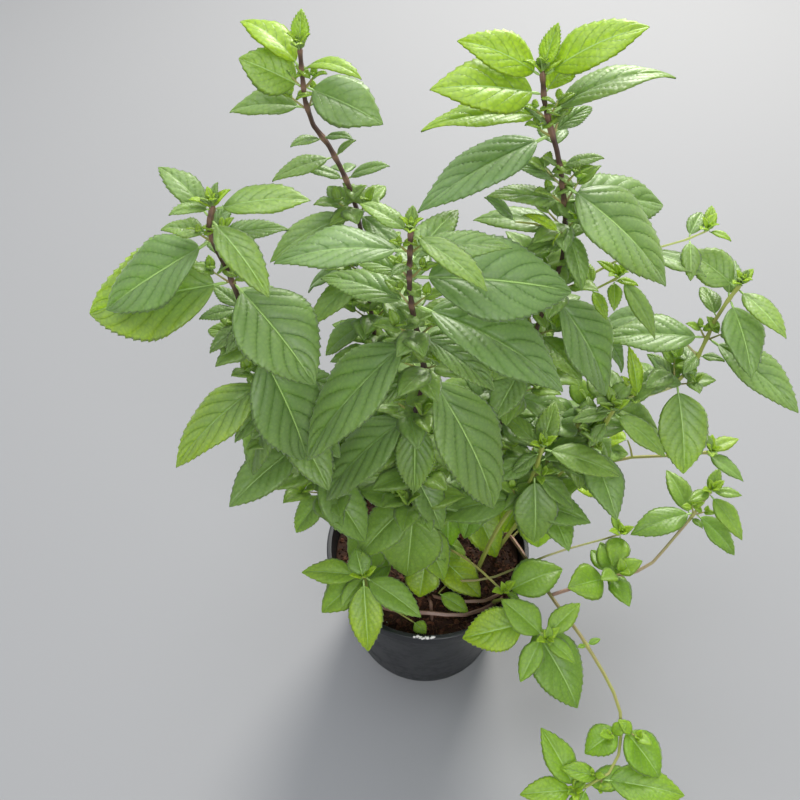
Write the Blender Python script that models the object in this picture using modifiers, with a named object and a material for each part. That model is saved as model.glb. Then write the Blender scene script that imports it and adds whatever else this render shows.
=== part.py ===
"""Peppermint plant in a round nursery pot.

The origin is the centre of the pot's underside, on the ground, and +Z is up. Lengths in the
design tables are millimetres and angles are degrees; MM turns them into Blender's metres.
"""

import math

import bmesh
import bpy
from mathutils import Vector, noise

MM = 0.001
GAP = 0.3                    # clear space between pieces that touch on the real plant

# Pot: a thin injection-moulded shell with a rolled rim and a drained base
POT_HEIGHT = 100.0
RIM_RADIUS = 62.0
BASE_RADIUS = 47.0
WALL = 1.4
RIM_BAND = 7.0               # height of the thicker band under the rim
RIM_STEP = 1.6               # how far the band stands out from the wall
LIP = 0.8                    # chamfer on the rim's outer edge
BASE_PAD_RADIUS = 29.0       # flat middle of the base, which touches the ground
CHANNEL = (32.0, 42.0)       # inner and outer radius of the raised drainage channel
CHANNEL_HEIGHT = 4.0
DRAIN_HOLES = 8
DRAIN_RADIUS = 3.5
POT_STEPS = 40

# Potting mix
SOIL_TOP = 87.0
SOIL_LUMPS = 2.2             # height of the clods
SOIL_RINGS = 6
SOIL_STEPS = 32

# Stems
STEM_STEP = 11.0             # distance between a stem's points
PLANTED_CLEARANCE = 0.5      # radial room round a stem in its planting hole

# Leaves
LEAF_THICKNESS = 0.8
LEAF_STATIONS = 5            # cross rows along one blade
PETIOLE_SHARE = 0.1          # part of a leaf's length that is bare stalk
PETIOLE_HALF_WIDTH = 0.9
FOLD = 0.22                  # how far the edges rise, as a share of the half width
CLASP_STEP = 45.0            # angle between the rows that pass round the stem
CLASP_GAP = 0.4              # clear space between a stem and the collar round it


def leaf(azimuth, rise, length, wide=0.44, roll=0, droop=20):
    """One leaf: where it points, how it climbs, its length, width ratio, roll and droop."""
    return {"azimuth": azimuth, "rise": rise, "length": length,
            "wide": wide, "roll": roll, "droop": droop}


# Each shoot has a path of points from the soil to its tip, its radius at both ends, and its
# leaf pairs: how far below the tip they stand, then the two opposite leaves.
SHOOTS = {
    "back_left": {
        "path": [(-18, 24, 72), (-24, 32, 180), (-32, 38, 270), (-36, 40, 322),
                 (-45, 41, 352), (-54, 41, 370), (-55, 42, 398)],
        "radius": (2.0, 1.2),
        "pairs": [
            (4, leaf(160, 45, 29, wide=0.5, droop=50), leaf(-30, 10, 27, wide=0.36, droop=60)),
            (16, leaf(175, 25, 26, wide=0.75, roll=-40), leaf(-20, 0, 32, wide=0.62, roll=25)),
            (25, leaf(175, -5, 32, wide=0.5, roll=-10, droop=35), leaf(40, 0, 22)),
            (80, leaf(-155, -15, 44), leaf(-40, -20, 28)),
            (115, leaf(-145, -25, 35), leaf(35, -20, 38)),
        ],
    },
    "left": {
        "path": [(-38, -2, 72), (-58, -6, 170), (-77, -8, 267), (-86, -9, 331),
                 (-90, -10, 350), (-86, -11, 365)],
        "radius": (2.0, 1.2),
        "pairs": [
            (2, leaf(-150, 15, 16), leaf(5, 5, 36, wide=0.5)),
            (7, leaf(140, 25, 28, droop=40), leaf(-50, -20, 38, wide=0.38)),
            (18, leaf(-170, -30, 56, wide=0.55, roll=-15, droop=5), leaf(15, 0, 29)),
            (41, leaf(180, -15, 66, wide=0.6, roll=-30), leaf(-40, -35, 53, wide=0.7)),
            (78, leaf(-45, -65, 67, wide=0.56), leaf(150, -10, 28)),
            (102, leaf(-145, -25, 60), leaf(15, -30, 42)),
        ],
    },
    "centre": {
        "path": [(-4, -6, 72), (-8, -8, 150), (-11, -9, 226), (-6, -10, 266),
                 (-8, -12, 288), (-13, -15, 325), (-13, -20, 361)],
        "radius": (2.3, 1.3),
        "pairs": [
            (2, leaf(150, 15, 22), leaf(-40, -10, 36, wide=0.35)),
            (12, leaf(-175, 0, 51), leaf(0, 5, 38)),
            (27, leaf(155, 0, 26), leaf(5, -10, 68, wide=0.55, roll=20)),
            (44, leaf(-15, -25, 75, wide=0.5), leaf(155, 0, 42)),
            (63, leaf(-155, -45, 81), leaf(-25, -25, 41)),
            (87, leaf(-40, -55, 84), leaf(-150, -25, 26)),
            (122, leaf(-160, -45, 70), leaf(-90, -60, 43)),
            (200, leaf(-100, -60, 50, wide=0.5), leaf(80, -20, 38)),
        ],
    },
    "back_right": {
        "path": [(22, 18, 72), (36, 22, 170), (50, 22, 275), (55, 23, 315),
                 (48, 25, 355), (39, 28, 380), (36, 30, 395)],
        "radius": (2.2, 1.2),
        "pairs": [
            (2, leaf(170, 20, 32, wide=0.6, roll=-30, droop=35),
             leaf(0, 30, 40, wide=0.5, roll=20, droop=35)),
            (9, leaf(-170, 10, 44, wide=0.6, roll=-25), leaf(45, 30, 19, wide=0.7)),
            (18, leaf(-165, -10, 49, wide=0.4), leaf(10, 15, 50, wide=0.36, roll=-25, droop=45)),
            (26, leaf(-160, -20, 60, droop=15), leaf(40, 10, 22)),
            (49, leaf(-30, -30, 61, wide=0.66), leaf(160, 15, 27, wide=0.35)),
            (58, leaf(20, -15, 54, wide=0.5, roll=15), leaf(-170, 15, 34)),
            (71, leaf(170, 0, 39), leaf(-65, -45, 28, wide=0.4)),
            (108, leaf(-35, -50, 61, wide=0.58), leaf(150, -20, 46)),
        ],
    },
    "right": {
        "path": [(30, 12, 72), (62, 13, 160), (84, 12, 216), (104, 12, 227),
                 (120, 14, 232), (129, 17, 250), (133, 21, 276), (140, 25, 293)],
        "radius": (2.0, 1.3),
        "pairs": [
            (3, leaf(140, 15, 28, wide=0.7, roll=-20), leaf(-60, -5, 32)),
            (9, leaf(-75, -30, 38, wide=0.55), leaf(80, 10, 26)),
            (32, leaf(-40, -15, 54), leaf(175, -5, 50, wide=0.5)),
            (62, leaf(-80, -45, 47, wide=0.58), leaf(130, 15, 20)),
        ],
    },
    "inner_right": {
        "path": [(38, 0, 72), (60, 0, 150), (84, 1, 205), (90, 2, 230)],
        "radius": (1.8, 1.2),
        "pairs": [(3, leaf(-35, -20, 34), leaf(-165, 0, 21))],
    },
    "middle": {
        "path": [(28, -12, 72), (38, -14, 140), (53, -8, 180), (56, -6, 210)],
        "radius": (1.8, 1.2),
        "pairs": [
            (3, leaf(-15, -10, 42), leaf(130, 5, 28)),
            (24, leaf(-85, -55, 40, wide=0.6), leaf(-25, -35, 31)),
        ],
    },
    "low_right": {
        "path": [(34, 4, 72), (50, 10, 114), (80, 15, 142), (107, 19, 162), (133, 12, 176),
                 (153, 8, 185)],
        "radius": (1.4, 1.0),
        "pairs": [(3, leaf(-40, -10, 24), leaf(20, 10, 20))],
    },
    "runner_front": {
        "path": [(47, 15, 72), (50, 9, 98), (61, -20, 108), (72, -48, 115), (83, -65, 113),
                 (100, -92, 99), (104, -108, 87), (98, -126, 76), (77, -135, 67)],
        "radius": (1.5, 1.0),
        "pairs": [
            (2, leaf(120, 20, 36), leaf(-175, 5, 31)),
            (17, leaf(-10, 0, 45), leaf(170, 10, 22)),
            (48, leaf(-50, -20, 32, wide=0.65), leaf(-150, -20, 24, wide=0.65)),
        ],
    },
    "runner_right": {
        "path": [(73, -42, 114), (88, -33, 110), (105, -28, 110), (126, -25, 116),
                 (140, -15, 132), (149, -8, 144), (158, 0, 160)],
        "radius": (1.4, 1.0),
        "pairs": [
            (3, leaf(-55, -20, 30), leaf(60, 30, 16)),
            (17, leaf(-165, -10, 38), leaf(-35, -30, 34)),
            (84, leaf(-160, 0, 26, wide=0.8, roll=-15), leaf(20, 0, 14)),
        ],
    },
    "runner_thin": {
        "path": [(6, -21, 78), (16, -23, 95), (36, -24, 101), (59, -19, 111), (79, -14, 117),
                 (101, -10, 122), (113, -8, 126)],
        "radius": (1.1, 0.8),
        "pairs": [],
    },
    "rim_front": {
        "path": [(36, -31, 72), (41, -37, 100), (49, -48, 112), (57, -63, 119), (63, -73, 123)],
        "radius": (1.6, 1.1),
        "pairs": [
            (3, leaf(140, 15, 30, wide=0.6), leaf(40, 15, 27)),
            (17, leaf(-55, -30, 54, wide=0.55), leaf(-170, -10, 38, wide=0.6, roll=-20)),
        ],
    },
    "rim_left": {
        "path": [(-36, -28, 74), (-37, -34, 120), (-37, -45, 143)],
        "radius": (1.5, 1.1),
        "pairs": [
            (6, leaf(-35, -5, 38), leaf(175, 0, 34)),
            (2, leaf(-85, -40, 41), leaf(90, 55, 14)),
        ],
    },
}
NO_HOLE = {"runner_right"}   # a side branch, which starts at another stem


# ---------------------------------------------------------------- helpers

def clear_scene():
    for obj in list(bpy.data.objects):
        bpy.data.objects.remove(obj, do_unlink=True)


def new_collection(name):
    collection = bpy.data.collections.new(name)
    bpy.context.scene.collection.children.link(collection)
    return collection


def material(name, color, roughness):
    mat = bpy.data.materials.new(name)
    mat.use_nodes = True
    shader = mat.node_tree.nodes["Principled BSDF"]
    shader.inputs["Base Color"].default_value = (*color, 1.0)
    shader.inputs["Roughness"].default_value = roughness
    return mat


def mesh_object(name, bm, collection, mat=None):
    mesh = bpy.data.meshes.new(name)
    bm.to_mesh(mesh)
    bm.free()
    obj = bpy.data.objects.new(name, mesh)
    collection.objects.link(obj)
    if mat:
        mesh.materials.append(mat)
    return obj


def turned(name, profile, steps, collection, mat):
    """Turn a profile of (radius, height) points in millimetres round Z."""
    bm = bmesh.new()
    verts = [bm.verts.new((r * MM, 0, z * MM)) for r, z in profile]
    for first, second in zip(verts, verts[1:]):
        bm.edges.new((first, second))
    obj = mesh_object(name, bm, collection, mat)
    screw = obj.modifiers.new("turn", "SCREW")
    screw.steps = screw.render_steps = steps
    screw.use_merge_vertices = True
    screw.merge_threshold = 0.00001
    obj.data.shade_smooth()
    return obj


def cutter(obj):
    obj.hide_render = True
    obj.display_type = "WIRE"
    return obj


# ---------------------------------------------------------------- pot and soil

def wall_radius(z):
    """Outer radius of the pot's tapered wall at a height."""
    return BASE_RADIUS + (RIM_RADIUS - RIM_STEP - BASE_RADIUS) * z / POT_HEIGHT


def pot_profile():
    """Closed section of the pot: down the outside, along the base, and up the inside."""
    band = POT_HEIGHT - RIM_BAND
    inner, outer = CHANNEL
    high = CHANNEL_HEIGHT
    return [
        (RIM_RADIUS - LIP, POT_HEIGHT),
        (RIM_RADIUS, POT_HEIGHT - LIP),
        (RIM_RADIUS, band),
        (wall_radius(band), band - RIM_STEP),
        (wall_radius(1.0), 1.0),
        (BASE_RADIUS - 1.0, 0.0),
        (outer, 0.0),
        (outer - 1.0, high),
        (inner + 1.0, high),
        (inner, 0.0),
        (BASE_PAD_RADIUS, 0.0),
        (0.0, 0.0),
        (0.0, WALL),
        (inner - WALL, WALL),
        (inner + 1.0 - WALL, high + WALL),
        (outer - 1.0 + WALL, high + WALL),
        (outer + WALL, WALL),
        (wall_radius(WALL) - WALL, WALL),
        (wall_radius(band) - WALL, band),
        (RIM_RADIUS - RIM_STEP - WALL, POT_HEIGHT),
        (RIM_RADIUS - LIP, POT_HEIGHT),
    ]


def make_pot(parts, cutters, mat):
    pot = turned("pot", pot_profile(), POT_STEPS, parts, mat)
    middle = sum(CHANNEL) / 2
    for i in range(DRAIN_HOLES):
        angle = 2 * math.pi * i / DRAIN_HOLES
        at = (middle * math.cos(angle) * MM, middle * math.sin(angle) * MM, CHANNEL_HEIGHT * MM)
        bpy.ops.mesh.primitive_cylinder_add(vertices=12, radius=DRAIN_RADIUS * MM,
                                            depth=4 * WALL * MM, location=at)
        hole = cutter(bpy.context.object)
        bpy.context.collection.objects.unlink(hole)
        cutters.objects.link(hole)
    drill = pot.modifiers.new("drain holes", "BOOLEAN")
    drill.operand_type = "COLLECTION"
    drill.collection = cutters
    drill.solver = "EXACT"
    return pot


def soil_profile():
    """Section of the potting mix, from the edge of its top down to the middle of its base."""
    inner, outer = CHANNEL
    over = CHANNEL_HEIGHT + WALL + GAP
    return [
        (wall_radius(SOIL_TOP) - WALL - GAP, SOIL_TOP),
        (wall_radius(WALL) - WALL - GAP, WALL + GAP),
        (outer + WALL + GAP, WALL + GAP),
        (outer - 0.5 + WALL + GAP, over),
        (inner + 0.5 - WALL - GAP, over),
        (inner - WALL - GAP, WALL + GAP),
        (0.0, WALL + GAP),
    ]


def make_soil(parts, cutters, mat):
    edge = soil_profile()[0][0]
    rings = [(edge * i / SOIL_RINGS, SOIL_TOP) for i in range(SOIL_RINGS)]
    soil = turned("soil", rings + soil_profile(), SOIL_STEPS, parts, mat)
    mesh = bpy.data.meshes.new_from_object(
        soil.evaluated_get(bpy.context.evaluated_depsgraph_get()))
    soil.modifiers.clear()
    soil.data = mesh
    for vert in mesh.vertices:
        if vert.co.z > (SOIL_TOP - 1) * MM:
            inward = 1 - (vert.co.xy.length / (edge * MM)) ** 6
            lump = noise.noise(Vector((vert.co.x, vert.co.y, 0)) / (14 * MM))
            vert.co.z += inward * lump * SOIL_LUMPS * MM
    for name, shoot in SHOOTS.items():
        if name not in NO_HOLE:
            planting_hole(shoot, cutters)
    holes = soil.modifiers.new("planting holes", "BOOLEAN")
    holes.operand_type = "COLLECTION"
    holes.collection = cutters
    holes.solver = "EXACT"
    return soil


def planting_hole(shoot, cutters):
    """A tube round the foot of a stem, along its first stretch and a little below its end."""
    stem = smooth_path(shoot["path"])
    foot, up = stem[0], (stem[1] - stem[0]).normalized()
    above = next(i for i, point in enumerate(stem) if point.z > SOIL_TOP + 2 * SOIL_LUMPS)
    points = [foot - up * GAP] + stem[1:above + 2]
    radius = shoot["radius"][0] + PLANTED_CLEARANCE
    cutter(tube("hole", points, [radius] * len(points), cutters, None, sides=2))


# ---------------------------------------------------------------- stems

def smooth_path(points):
    """Points a STEM_STEP apart on a smooth curve through the given points."""
    knots = [Vector(p) for p in points]
    knots = [2 * knots[0] - knots[1]] + knots + [2 * knots[-1] - knots[-2]]
    fine = []
    for a, b, c, d in zip(knots, knots[1:], knots[2:], knots[3:]):
        for i in range(10):
            t = i / 10
            fine.append(0.5 * (2 * b + (c - a) * t + (2 * a - 5 * b + 4 * c - d) * t ** 2
                               + (3 * b - a - 3 * c + d) * t ** 3))
    fine.append(knots[-2])
    length = sum((b - a).length for a, b in zip(fine, fine[1:]))
    count = max(2, round(length / STEM_STEP))
    path, walked, wanted = [fine[0]], 0.0, length / count
    for a, b in zip(fine, fine[1:]):
        step = (b - a).length
        while walked + step >= wanted and len(path) < count:
            path.append(a.lerp(b, (wanted - walked) / step))
            wanted += length / count
        walked += step
    return path + [fine[-1]]


def along(path, distance):
    """Point and direction at a distance along a path; past its end it carries straight on."""
    for a, b in zip(path, path[1:]):
        step = (b - a).length
        if distance <= step or b is path[-1]:
            return a.lerp(b, distance / step), (b - a).normalized()
        distance -= step
    return None


def tube(name, points, radii, collection, mat, sides=0):
    """A closed tube through the points; sides=0 gives the square section of a mint stem."""
    curve = bpy.data.curves.new(name, "CURVE")
    curve.dimensions = "3D"
    curve.bevel_depth = MM
    curve.bevel_resolution = sides
    curve.use_fill_caps = True
    spline = curve.splines.new("POLY")
    spline.points.add(len(points) - 1)
    for target, point, radius in zip(spline.points, points, radii):
        target.co = (*(point * MM), 1.0)
        target.radius = radius
    drawn = bpy.data.objects.new(name, curve)
    collection.objects.link(drawn)
    bpy.context.view_layer.update()
    mesh = bpy.data.meshes.new_from_object(
        drawn.evaluated_get(bpy.context.evaluated_depsgraph_get()))
    bpy.data.objects.remove(drawn, do_unlink=True)
    bpy.data.curves.remove(curve)
    bm = bmesh.new()
    bm.from_mesh(mesh)
    bpy.data.meshes.remove(mesh)
    bmesh.ops.remove_doubles(bm, verts=bm.verts, dist=0.00001)
    return mesh_object(name, bm, collection, mat)


def stem_radius(shoot, share):
    foot, tip = shoot["radius"]
    return foot + (tip - foot) * share


def make_stem(name, shoot, parts, mat):
    path = smooth_path(shoot["path"])
    last = len(path) - 1
    radii = [stem_radius(shoot, i / last) for i in range(last + 1)]
    return tube("stem_" + name, path, radii, parts, mat)


# ---------------------------------------------------------------- leaves

def leaf_frame(shape):
    """Unit vectors along a leaf, to its left and out of its upper side."""
    azimuth, rise, roll = (math.radians(shape[key]) for key in ("azimuth", "rise", "roll"))
    forward = Vector((math.cos(azimuth) * math.cos(rise), math.sin(azimuth) * math.cos(rise),
                      math.sin(rise)))
    level = Vector((-math.sin(azimuth), math.cos(azimuth), 0))
    normal = forward.cross(level)
    left = level * math.cos(roll) + normal * math.sin(roll)
    return forward, left, forward.cross(left)


def blade_half_width(share, shape):
    """Half width of the blade at a share of its length: ovate, widest before the middle."""
    most = shape["wide"] * shape["length"] * (1 - PETIOLE_SHARE) / 2
    return most * max(math.sin(math.pi * share ** 0.8), 0.0) ** 0.85


def leaf_rows(base, shape):
    """Cross rows of a leaf, base to tip: centre, leftward vector and upward vector.

    The midrib is an arc whose chord has the leaf's length and whose ends differ in slope by
    the droop.
    """
    forward, left, normal = leaf_frame(shape)
    droop = math.radians(max(shape["droop"], 1))
    radius = shape["length"] / (2 * math.sin(droop / 2))
    rows = []
    shares = [PETIOLE_SHARE * 0.5] + [PETIOLE_SHARE + (1 - PETIOLE_SHARE) * i / LEAF_STATIONS
                                      for i in range(LEAF_STATIONS + 1)]
    for share in shares:
        slope = droop / 2 - droop * share
        out = radius * (math.sin(droop / 2) - math.sin(slope))
        high = radius * (math.cos(slope) - math.cos(droop / 2))
        blade = (share - PETIOLE_SHARE) / (1 - PETIOLE_SHARE)
        half = blade_half_width(min(blade, 1.0), shape) if blade > 0 else 0.0
        if share < 0.9:
            half = max(half, PETIOLE_HALF_WIDTH)
        half = max(half, 0.3)
        up = normal * math.cos(slope) - forward * math.sin(slope)
        rows.append((base + forward * out + normal * high, left * half, up))
    return rows


def clasp_rows(centre, axis, start, end, radius):
    """Rows of a flat collar that passes round the stem from one petiole to the other."""
    side = axis.cross(start)
    turn = math.atan2(end.dot(side), end.dot(start))
    count = max(2, round(abs(math.degrees(turn)) / CLASP_STEP))
    rows = []
    for i in range(count + 1):
        angle = turn * i / count
        spoke = start * math.cos(angle) + side * math.sin(angle)
        if i == 0:
            across = spoke * math.copysign(1, turn) + axis.cross(spoke)
        elif i == count:
            across = spoke * math.copysign(1, turn) - axis.cross(spoke)
        else:
            across = spoke * math.copysign(1, turn)
        rows.append((centre + spoke * radius, across * PETIOLE_HALF_WIDTH, axis))
    return rows


def spoke_towards(axis, shape):
    """Direction square to the stem in which a leaf leaves it."""
    forward = leaf_frame(shape)[0]
    spoke = forward - axis * forward.dot(axis)
    return spoke.normalized()


def pair_rows(path, shoot, below_tip, first, second):
    """All rows of a leaf pair, from one tip round the stem to the other tip."""
    length = sum((b - a).length for a, b in zip(path, path[1:]))
    distance = length - below_tip
    centre, axis = along(path, distance)
    radius = stem_radius(shoot, distance / length) + CLASP_GAP + PETIOLE_HALF_WIDTH
    start, end = spoke_towards(axis, first), spoke_towards(axis, second)
    reach = radius + 2 * PETIOLE_HALF_WIDTH
    arriving = leaf_rows(centre + start * reach, first)
    leaving = leaf_rows(centre + end * reach, second)
    turned_round = [(point, -across, up) for point, across, up in reversed(arriving)]
    collar = clasp_rows(centre, axis, start, end, radius)
    if collar[1][1].dot(axis.cross(collar[1][0] - collar[0][0])) < 0:
        collar = [(point, -across, up) for point, across, up in collar]
    return turned_round + collar + leaving


def strip(name, rows, collection, mat):
    """A sheet three points wide through the rows, thickened into a leaf."""
    bm = bmesh.new()
    bmesh.ops.create_grid(bm, x_segments=len(rows) - 1, y_segments=2, size=0.5)
    for vert in bm.verts:
        row = round((vert.co.x + 0.5) * (len(rows) - 1))
        across = round(vert.co.y * 2)
        centre, left, up = rows[row]
        lift = FOLD * left.length * abs(across) if left.length > PETIOLE_HALF_WIDTH * 1.5 else 0
        vert.co = (centre + left * across + up * lift) * MM
    obj = mesh_object(name, bm, collection, mat)
    sheet = obj.modifiers.new("thickness", "SOLIDIFY")
    sheet.thickness = LEAF_THICKNESS * MM
    sheet.offset = 0
    obj.data.shade_smooth()
    return obj


def make_leaves(name, shoot, parts, mat):
    path = smooth_path(shoot["path"])
    for number, (below_tip, first, second) in enumerate(shoot["pairs"], start=1):
        rows = pair_rows(path, shoot, below_tip, first, second)
        strip(f"leaves_{name}_{number}", rows, parts, mat)


# ---------------------------------------------------------------- assembly

def main():
    clear_scene()
    parts = new_collection("potted_peppermint")
    drains = new_collection("drain_cutters")
    holes = new_collection("planting_cutters")
    plastic = material("pot plastic", (0.012, 0.014, 0.017), 0.45)
    mix = material("potting mix", (0.06, 0.025, 0.015), 0.95)
    bark = material("stem", (0.12, 0.09, 0.06), 0.6)
    blade = material("leaf", (0.09, 0.22, 0.05), 0.5)
    make_pot(parts, drains, plastic)
    make_soil(parts, holes, mix)
    for name, shoot in SHOOTS.items():
        make_stem(name, shoot, parts, bark)
        make_leaves(name, shoot, parts, blade)


main()
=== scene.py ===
# %% [markdown]
# # A potted peppermint plant
# A young peppermint plant in a black nursery pot. Upright shoots carry broad toothed leaves in
# opposite pairs, and runners trail over the rim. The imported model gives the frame: where the
# pot, the mix, the stems and the large leaf pairs are. This lesson gives each its real surface.

# %% Load the frame and measure it
import math
import random

import bmesh
import bpy
from mathutils import Matrix, Vector, noise
from mathutils.bvhtree import BVHTree


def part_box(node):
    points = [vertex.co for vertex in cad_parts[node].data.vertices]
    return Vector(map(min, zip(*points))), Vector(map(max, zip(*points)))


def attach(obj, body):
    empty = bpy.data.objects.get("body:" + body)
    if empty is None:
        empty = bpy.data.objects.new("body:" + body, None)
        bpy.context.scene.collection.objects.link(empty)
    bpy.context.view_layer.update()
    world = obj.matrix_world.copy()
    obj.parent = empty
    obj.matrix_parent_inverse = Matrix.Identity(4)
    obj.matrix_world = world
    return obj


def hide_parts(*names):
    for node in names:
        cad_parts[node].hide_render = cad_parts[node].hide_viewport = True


MM = 0.001
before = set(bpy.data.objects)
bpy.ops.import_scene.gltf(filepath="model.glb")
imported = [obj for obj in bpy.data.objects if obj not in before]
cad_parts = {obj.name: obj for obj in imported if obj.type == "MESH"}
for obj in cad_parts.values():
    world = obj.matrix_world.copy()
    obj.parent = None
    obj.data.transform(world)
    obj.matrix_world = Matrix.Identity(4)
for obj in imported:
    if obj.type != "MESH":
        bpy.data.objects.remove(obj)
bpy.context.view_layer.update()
pot_low, pot_high = (Vector(corner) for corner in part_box("pot"))
soil_low, soil_high = (Vector(corner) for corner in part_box("soil"))
RIM_RADIUS = (pot_high.x - pot_low.x) / 2
POT_HEIGHT = pot_high.z
print("pot", round(RIM_RADIUS / MM, 1), "mm radius,", round(POT_HEIGHT / MM, 1), "mm high")

# %% [markdown]
# ## Writing node trees as sums
# Every leaf, stem and crumb below follows a rule, so Geometry Nodes make them. A tree of maths
# nodes is hard to read as code, so `Sum` wraps a socket and lets ordinary signs add the nodes:
# `a * 2 + b` makes a multiply node and an add node. The same class works in shader trees.

# %% The Sum helper
class Sum:
    """A number or vector on its way through a node tree."""

    def __init__(self, tree, socket):
        self.tree = tree
        self.socket = socket

    def math(self, operation, *others):
        return maths(self.tree, operation, self, *others)

    def __add__(self, other):
        return self.math("ADD", other)

    def __sub__(self, other):
        return self.math("SUBTRACT", other)

    def __rsub__(self, other):
        return maths(self.tree, "SUBTRACT", other, self)

    def __mul__(self, other):
        return self.math("MULTIPLY", other)

    def __truediv__(self, other):
        return self.math("DIVIDE", other)

    def __pow__(self, other):
        return self.math("POWER", other)

    def sin(self):
        return self.math("SINE")

    def cos(self):
        return self.math("COSINE")

    def fract(self):
        return self.math("FRACT")

    def abs(self):
        return self.math("ABSOLUTE")

    def sign(self):
        return self.math("SIGN")

    def min(self, other):
        return self.math("MINIMUM", other)

    def max(self, other):
        return self.math("MAXIMUM", other)

    def held(self):
        """Hold the number between 0 and 1."""
        return self.max(0.0).min(1.0)

    __radd__ = __add__
    __rmul__ = __mul__


def plug(tree, value, slot):
    """Feed a Sum, a socket or a constant into a node's input."""
    if isinstance(value, Sum):
        tree.links.new(value.socket, slot)
    elif isinstance(value, bpy.types.NodeSocket):
        tree.links.new(value, slot)
    else:
        slot.default_value = value


def maths(tree, operation, *values):
    node = tree.nodes.new("ShaderNodeMath")
    node.operation = operation
    for value, slot in zip(values, node.inputs):
        plug(tree, value, slot)
    return Sum(tree, node.outputs[0])


def scaled(arrow, number):
    node = arrow.tree.nodes.new("ShaderNodeVectorMath")
    node.operation = "SCALE"
    plug(arrow.tree, arrow, node.inputs[0])
    plug(arrow.tree, number, node.inputs["Scale"])
    return Sum(arrow.tree, node.outputs[0])


def added(first, *rest):
    for arrow in rest:
        node = first.tree.nodes.new("ShaderNodeVectorMath")
        node.operation = "ADD"
        plug(first.tree, first, node.inputs[0])
        plug(first.tree, arrow, node.inputs[1])
        first = Sum(first.tree, node.outputs[0])
    return first


def coordinates(tree, place):
    """The X, Y and Z of a vector, each as a Sum."""
    parts = tree.nodes.new("ShaderNodeSeparateXYZ")
    plug(tree, place, parts.inputs[0])
    return [Sum(tree, socket) for socket in parts.outputs]


def node(tree, kind, output=0, settings=(), **inputs):
    """Add a node; input names use _ for a space. Returns one of its outputs as a Sum."""
    made = tree.nodes.new(kind)
    for key, value in dict(settings).items():
        setattr(made, key, value)
    for key, value in inputs.items():
        plug(tree, value, made.inputs[key.replace("_", " ")])
    return Sum(tree, made.outputs[output])


# %% [markdown]
# ## Running a tree
# A tree is a modifier, and a modifier's result has to become a plain mesh before the rest of the
# script can use it. `grown` does that for every tree: it runs the tree on a starting mesh, keeps
# the result and throws the starting object away.

# %% Objects, meshes and trees
def linked(name, data):
    """A new object in the scene."""
    obj = bpy.data.objects.new(name, data)
    bpy.context.scene.collection.objects.link(obj)
    return obj


def settled(obj):
    """The plain mesh that an object's modifiers make."""
    bpy.context.view_layer.update()
    return bpy.data.meshes.new_from_object(
        obj.evaluated_get(bpy.context.evaluated_depsgraph_get()))


def mesh_of(bm, name, finish=None):
    """Turn a bmesh into a named mesh, with one finish where it needs one."""
    mesh = bpy.data.meshes.new(name)
    bm.to_mesh(mesh)
    bm.free()
    if finish is not None:
        mesh.materials.append(finish)
    return mesh


def add_piece(piece):
    """Give a piece its body; every part of a plant stands on the one root body."""
    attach(piece, "root")
    return len(piece.data.polygons)


def new_tree(name, sockets):
    """A Geometry Nodes tree with Geometry in and out and the named inputs."""
    tree = bpy.data.node_groups.new(name, "GeometryNodeTree")
    tree.interface.new_socket("Geometry", in_out="INPUT", socket_type="NodeSocketGeometry")
    for label, kind in sockets:
        tree.interface.new_socket(label, in_out="INPUT", socket_type="NodeSocket" + kind)
    tree.interface.new_socket("Geometry", in_out="OUTPUT", socket_type="NodeSocketGeometry")
    source = tree.nodes.new("NodeGroupInput")
    return tree, {item.name: Sum(tree, item) for item in source.outputs if item.name}


def joined(tree, *parts):
    made = tree.nodes.new("GeometryNodeJoinGeometry")
    for part in parts:
        tree.links.new(part.socket, made.inputs[0])
    return Sum(tree, made.outputs[0])


def finish_tree(tree, geometry, finish=None):
    """Set Material where one finish covers all, Realize Instances, then the tree's output."""
    if finish is not None:
        geometry = node(tree, "GeometryNodeSetMaterial", Geometry=geometry, Material=finish)
    real = node(tree, "GeometryNodeRealizeInstances", Geometry=geometry)
    result = tree.nodes.new("NodeGroupOutput")
    plug(tree, real, result.inputs["Geometry"])


def grown(name, tree, start, values):
    """Run a tree on a starting mesh and keep the result as a plain mesh object."""
    holder = linked(name, start)
    modifier = holder.modifiers.new("grow", "NODES")
    modifier.node_group = tree
    for item in tree.interface.items_tree:
        if item.in_out == "INPUT" and item.name in values:
            modifier[item.identifier] = values[item.name]
    result = settled(holder)
    result.name = name
    bpy.data.objects.remove(holder, do_unlink=True)
    obj = linked(name, result)
    result.shade_smooth()
    return obj


def named(tree, name, kind="FLOAT"):
    return node(tree, "GeometryNodeInputNamedAttribute", settings={"data_type": kind}, Name=name)


def stored(tree, geometry, name, value, domain="POINT"):
    return node(tree, "GeometryNodeStoreNamedAttribute",
                settings={"data_type": "FLOAT", "domain": domain},
                Geometry=geometry, Name=name, Value=value)


# %% [markdown]
# ## The plan of the plant
# Peppermint is decussate: each leaf pair is turned a quarter turn from the pair below. A shoot
# is a path from the mix to its tip, in millimetres, with its leaf pairs listed by how far below
# the tip they stand. The same plan made the solids, so each fine leaf lies where its solid does.
# `pairs` are the large pairs, which have solids, and `small` those that have none. `behind`
# lists single leaves at the back of a shoot, whose partners have dropped. `inner` is how far
# below the tip the shaded pairs begin and end, and `inner_length` their length.

# %% The plan
def leaf(azimuth, rise, length, wide=0.44, roll=0, droop=20, age=None, lime_and_backlight=None):
    """Where a leaf points, its climb, length, width ratio, roll and droop.

    Age runs from 0 to 1 as a blade turns yellow. The lime amount runs from 0 to 1 for a fresh
    lime green, partly the colour of young growth and partly painted backlight through the blade.
    """
    return {"azimuth": azimuth, "rise": rise, "length": length, "wide": wide, "roll": roll,
            "droop": droop, "age": age, "lime_and_backlight": lime_and_backlight}


# Where a top pair has a high lime amount, as on back_left and back_right, the lime is painted
# backlight: light shining through the blades.
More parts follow.
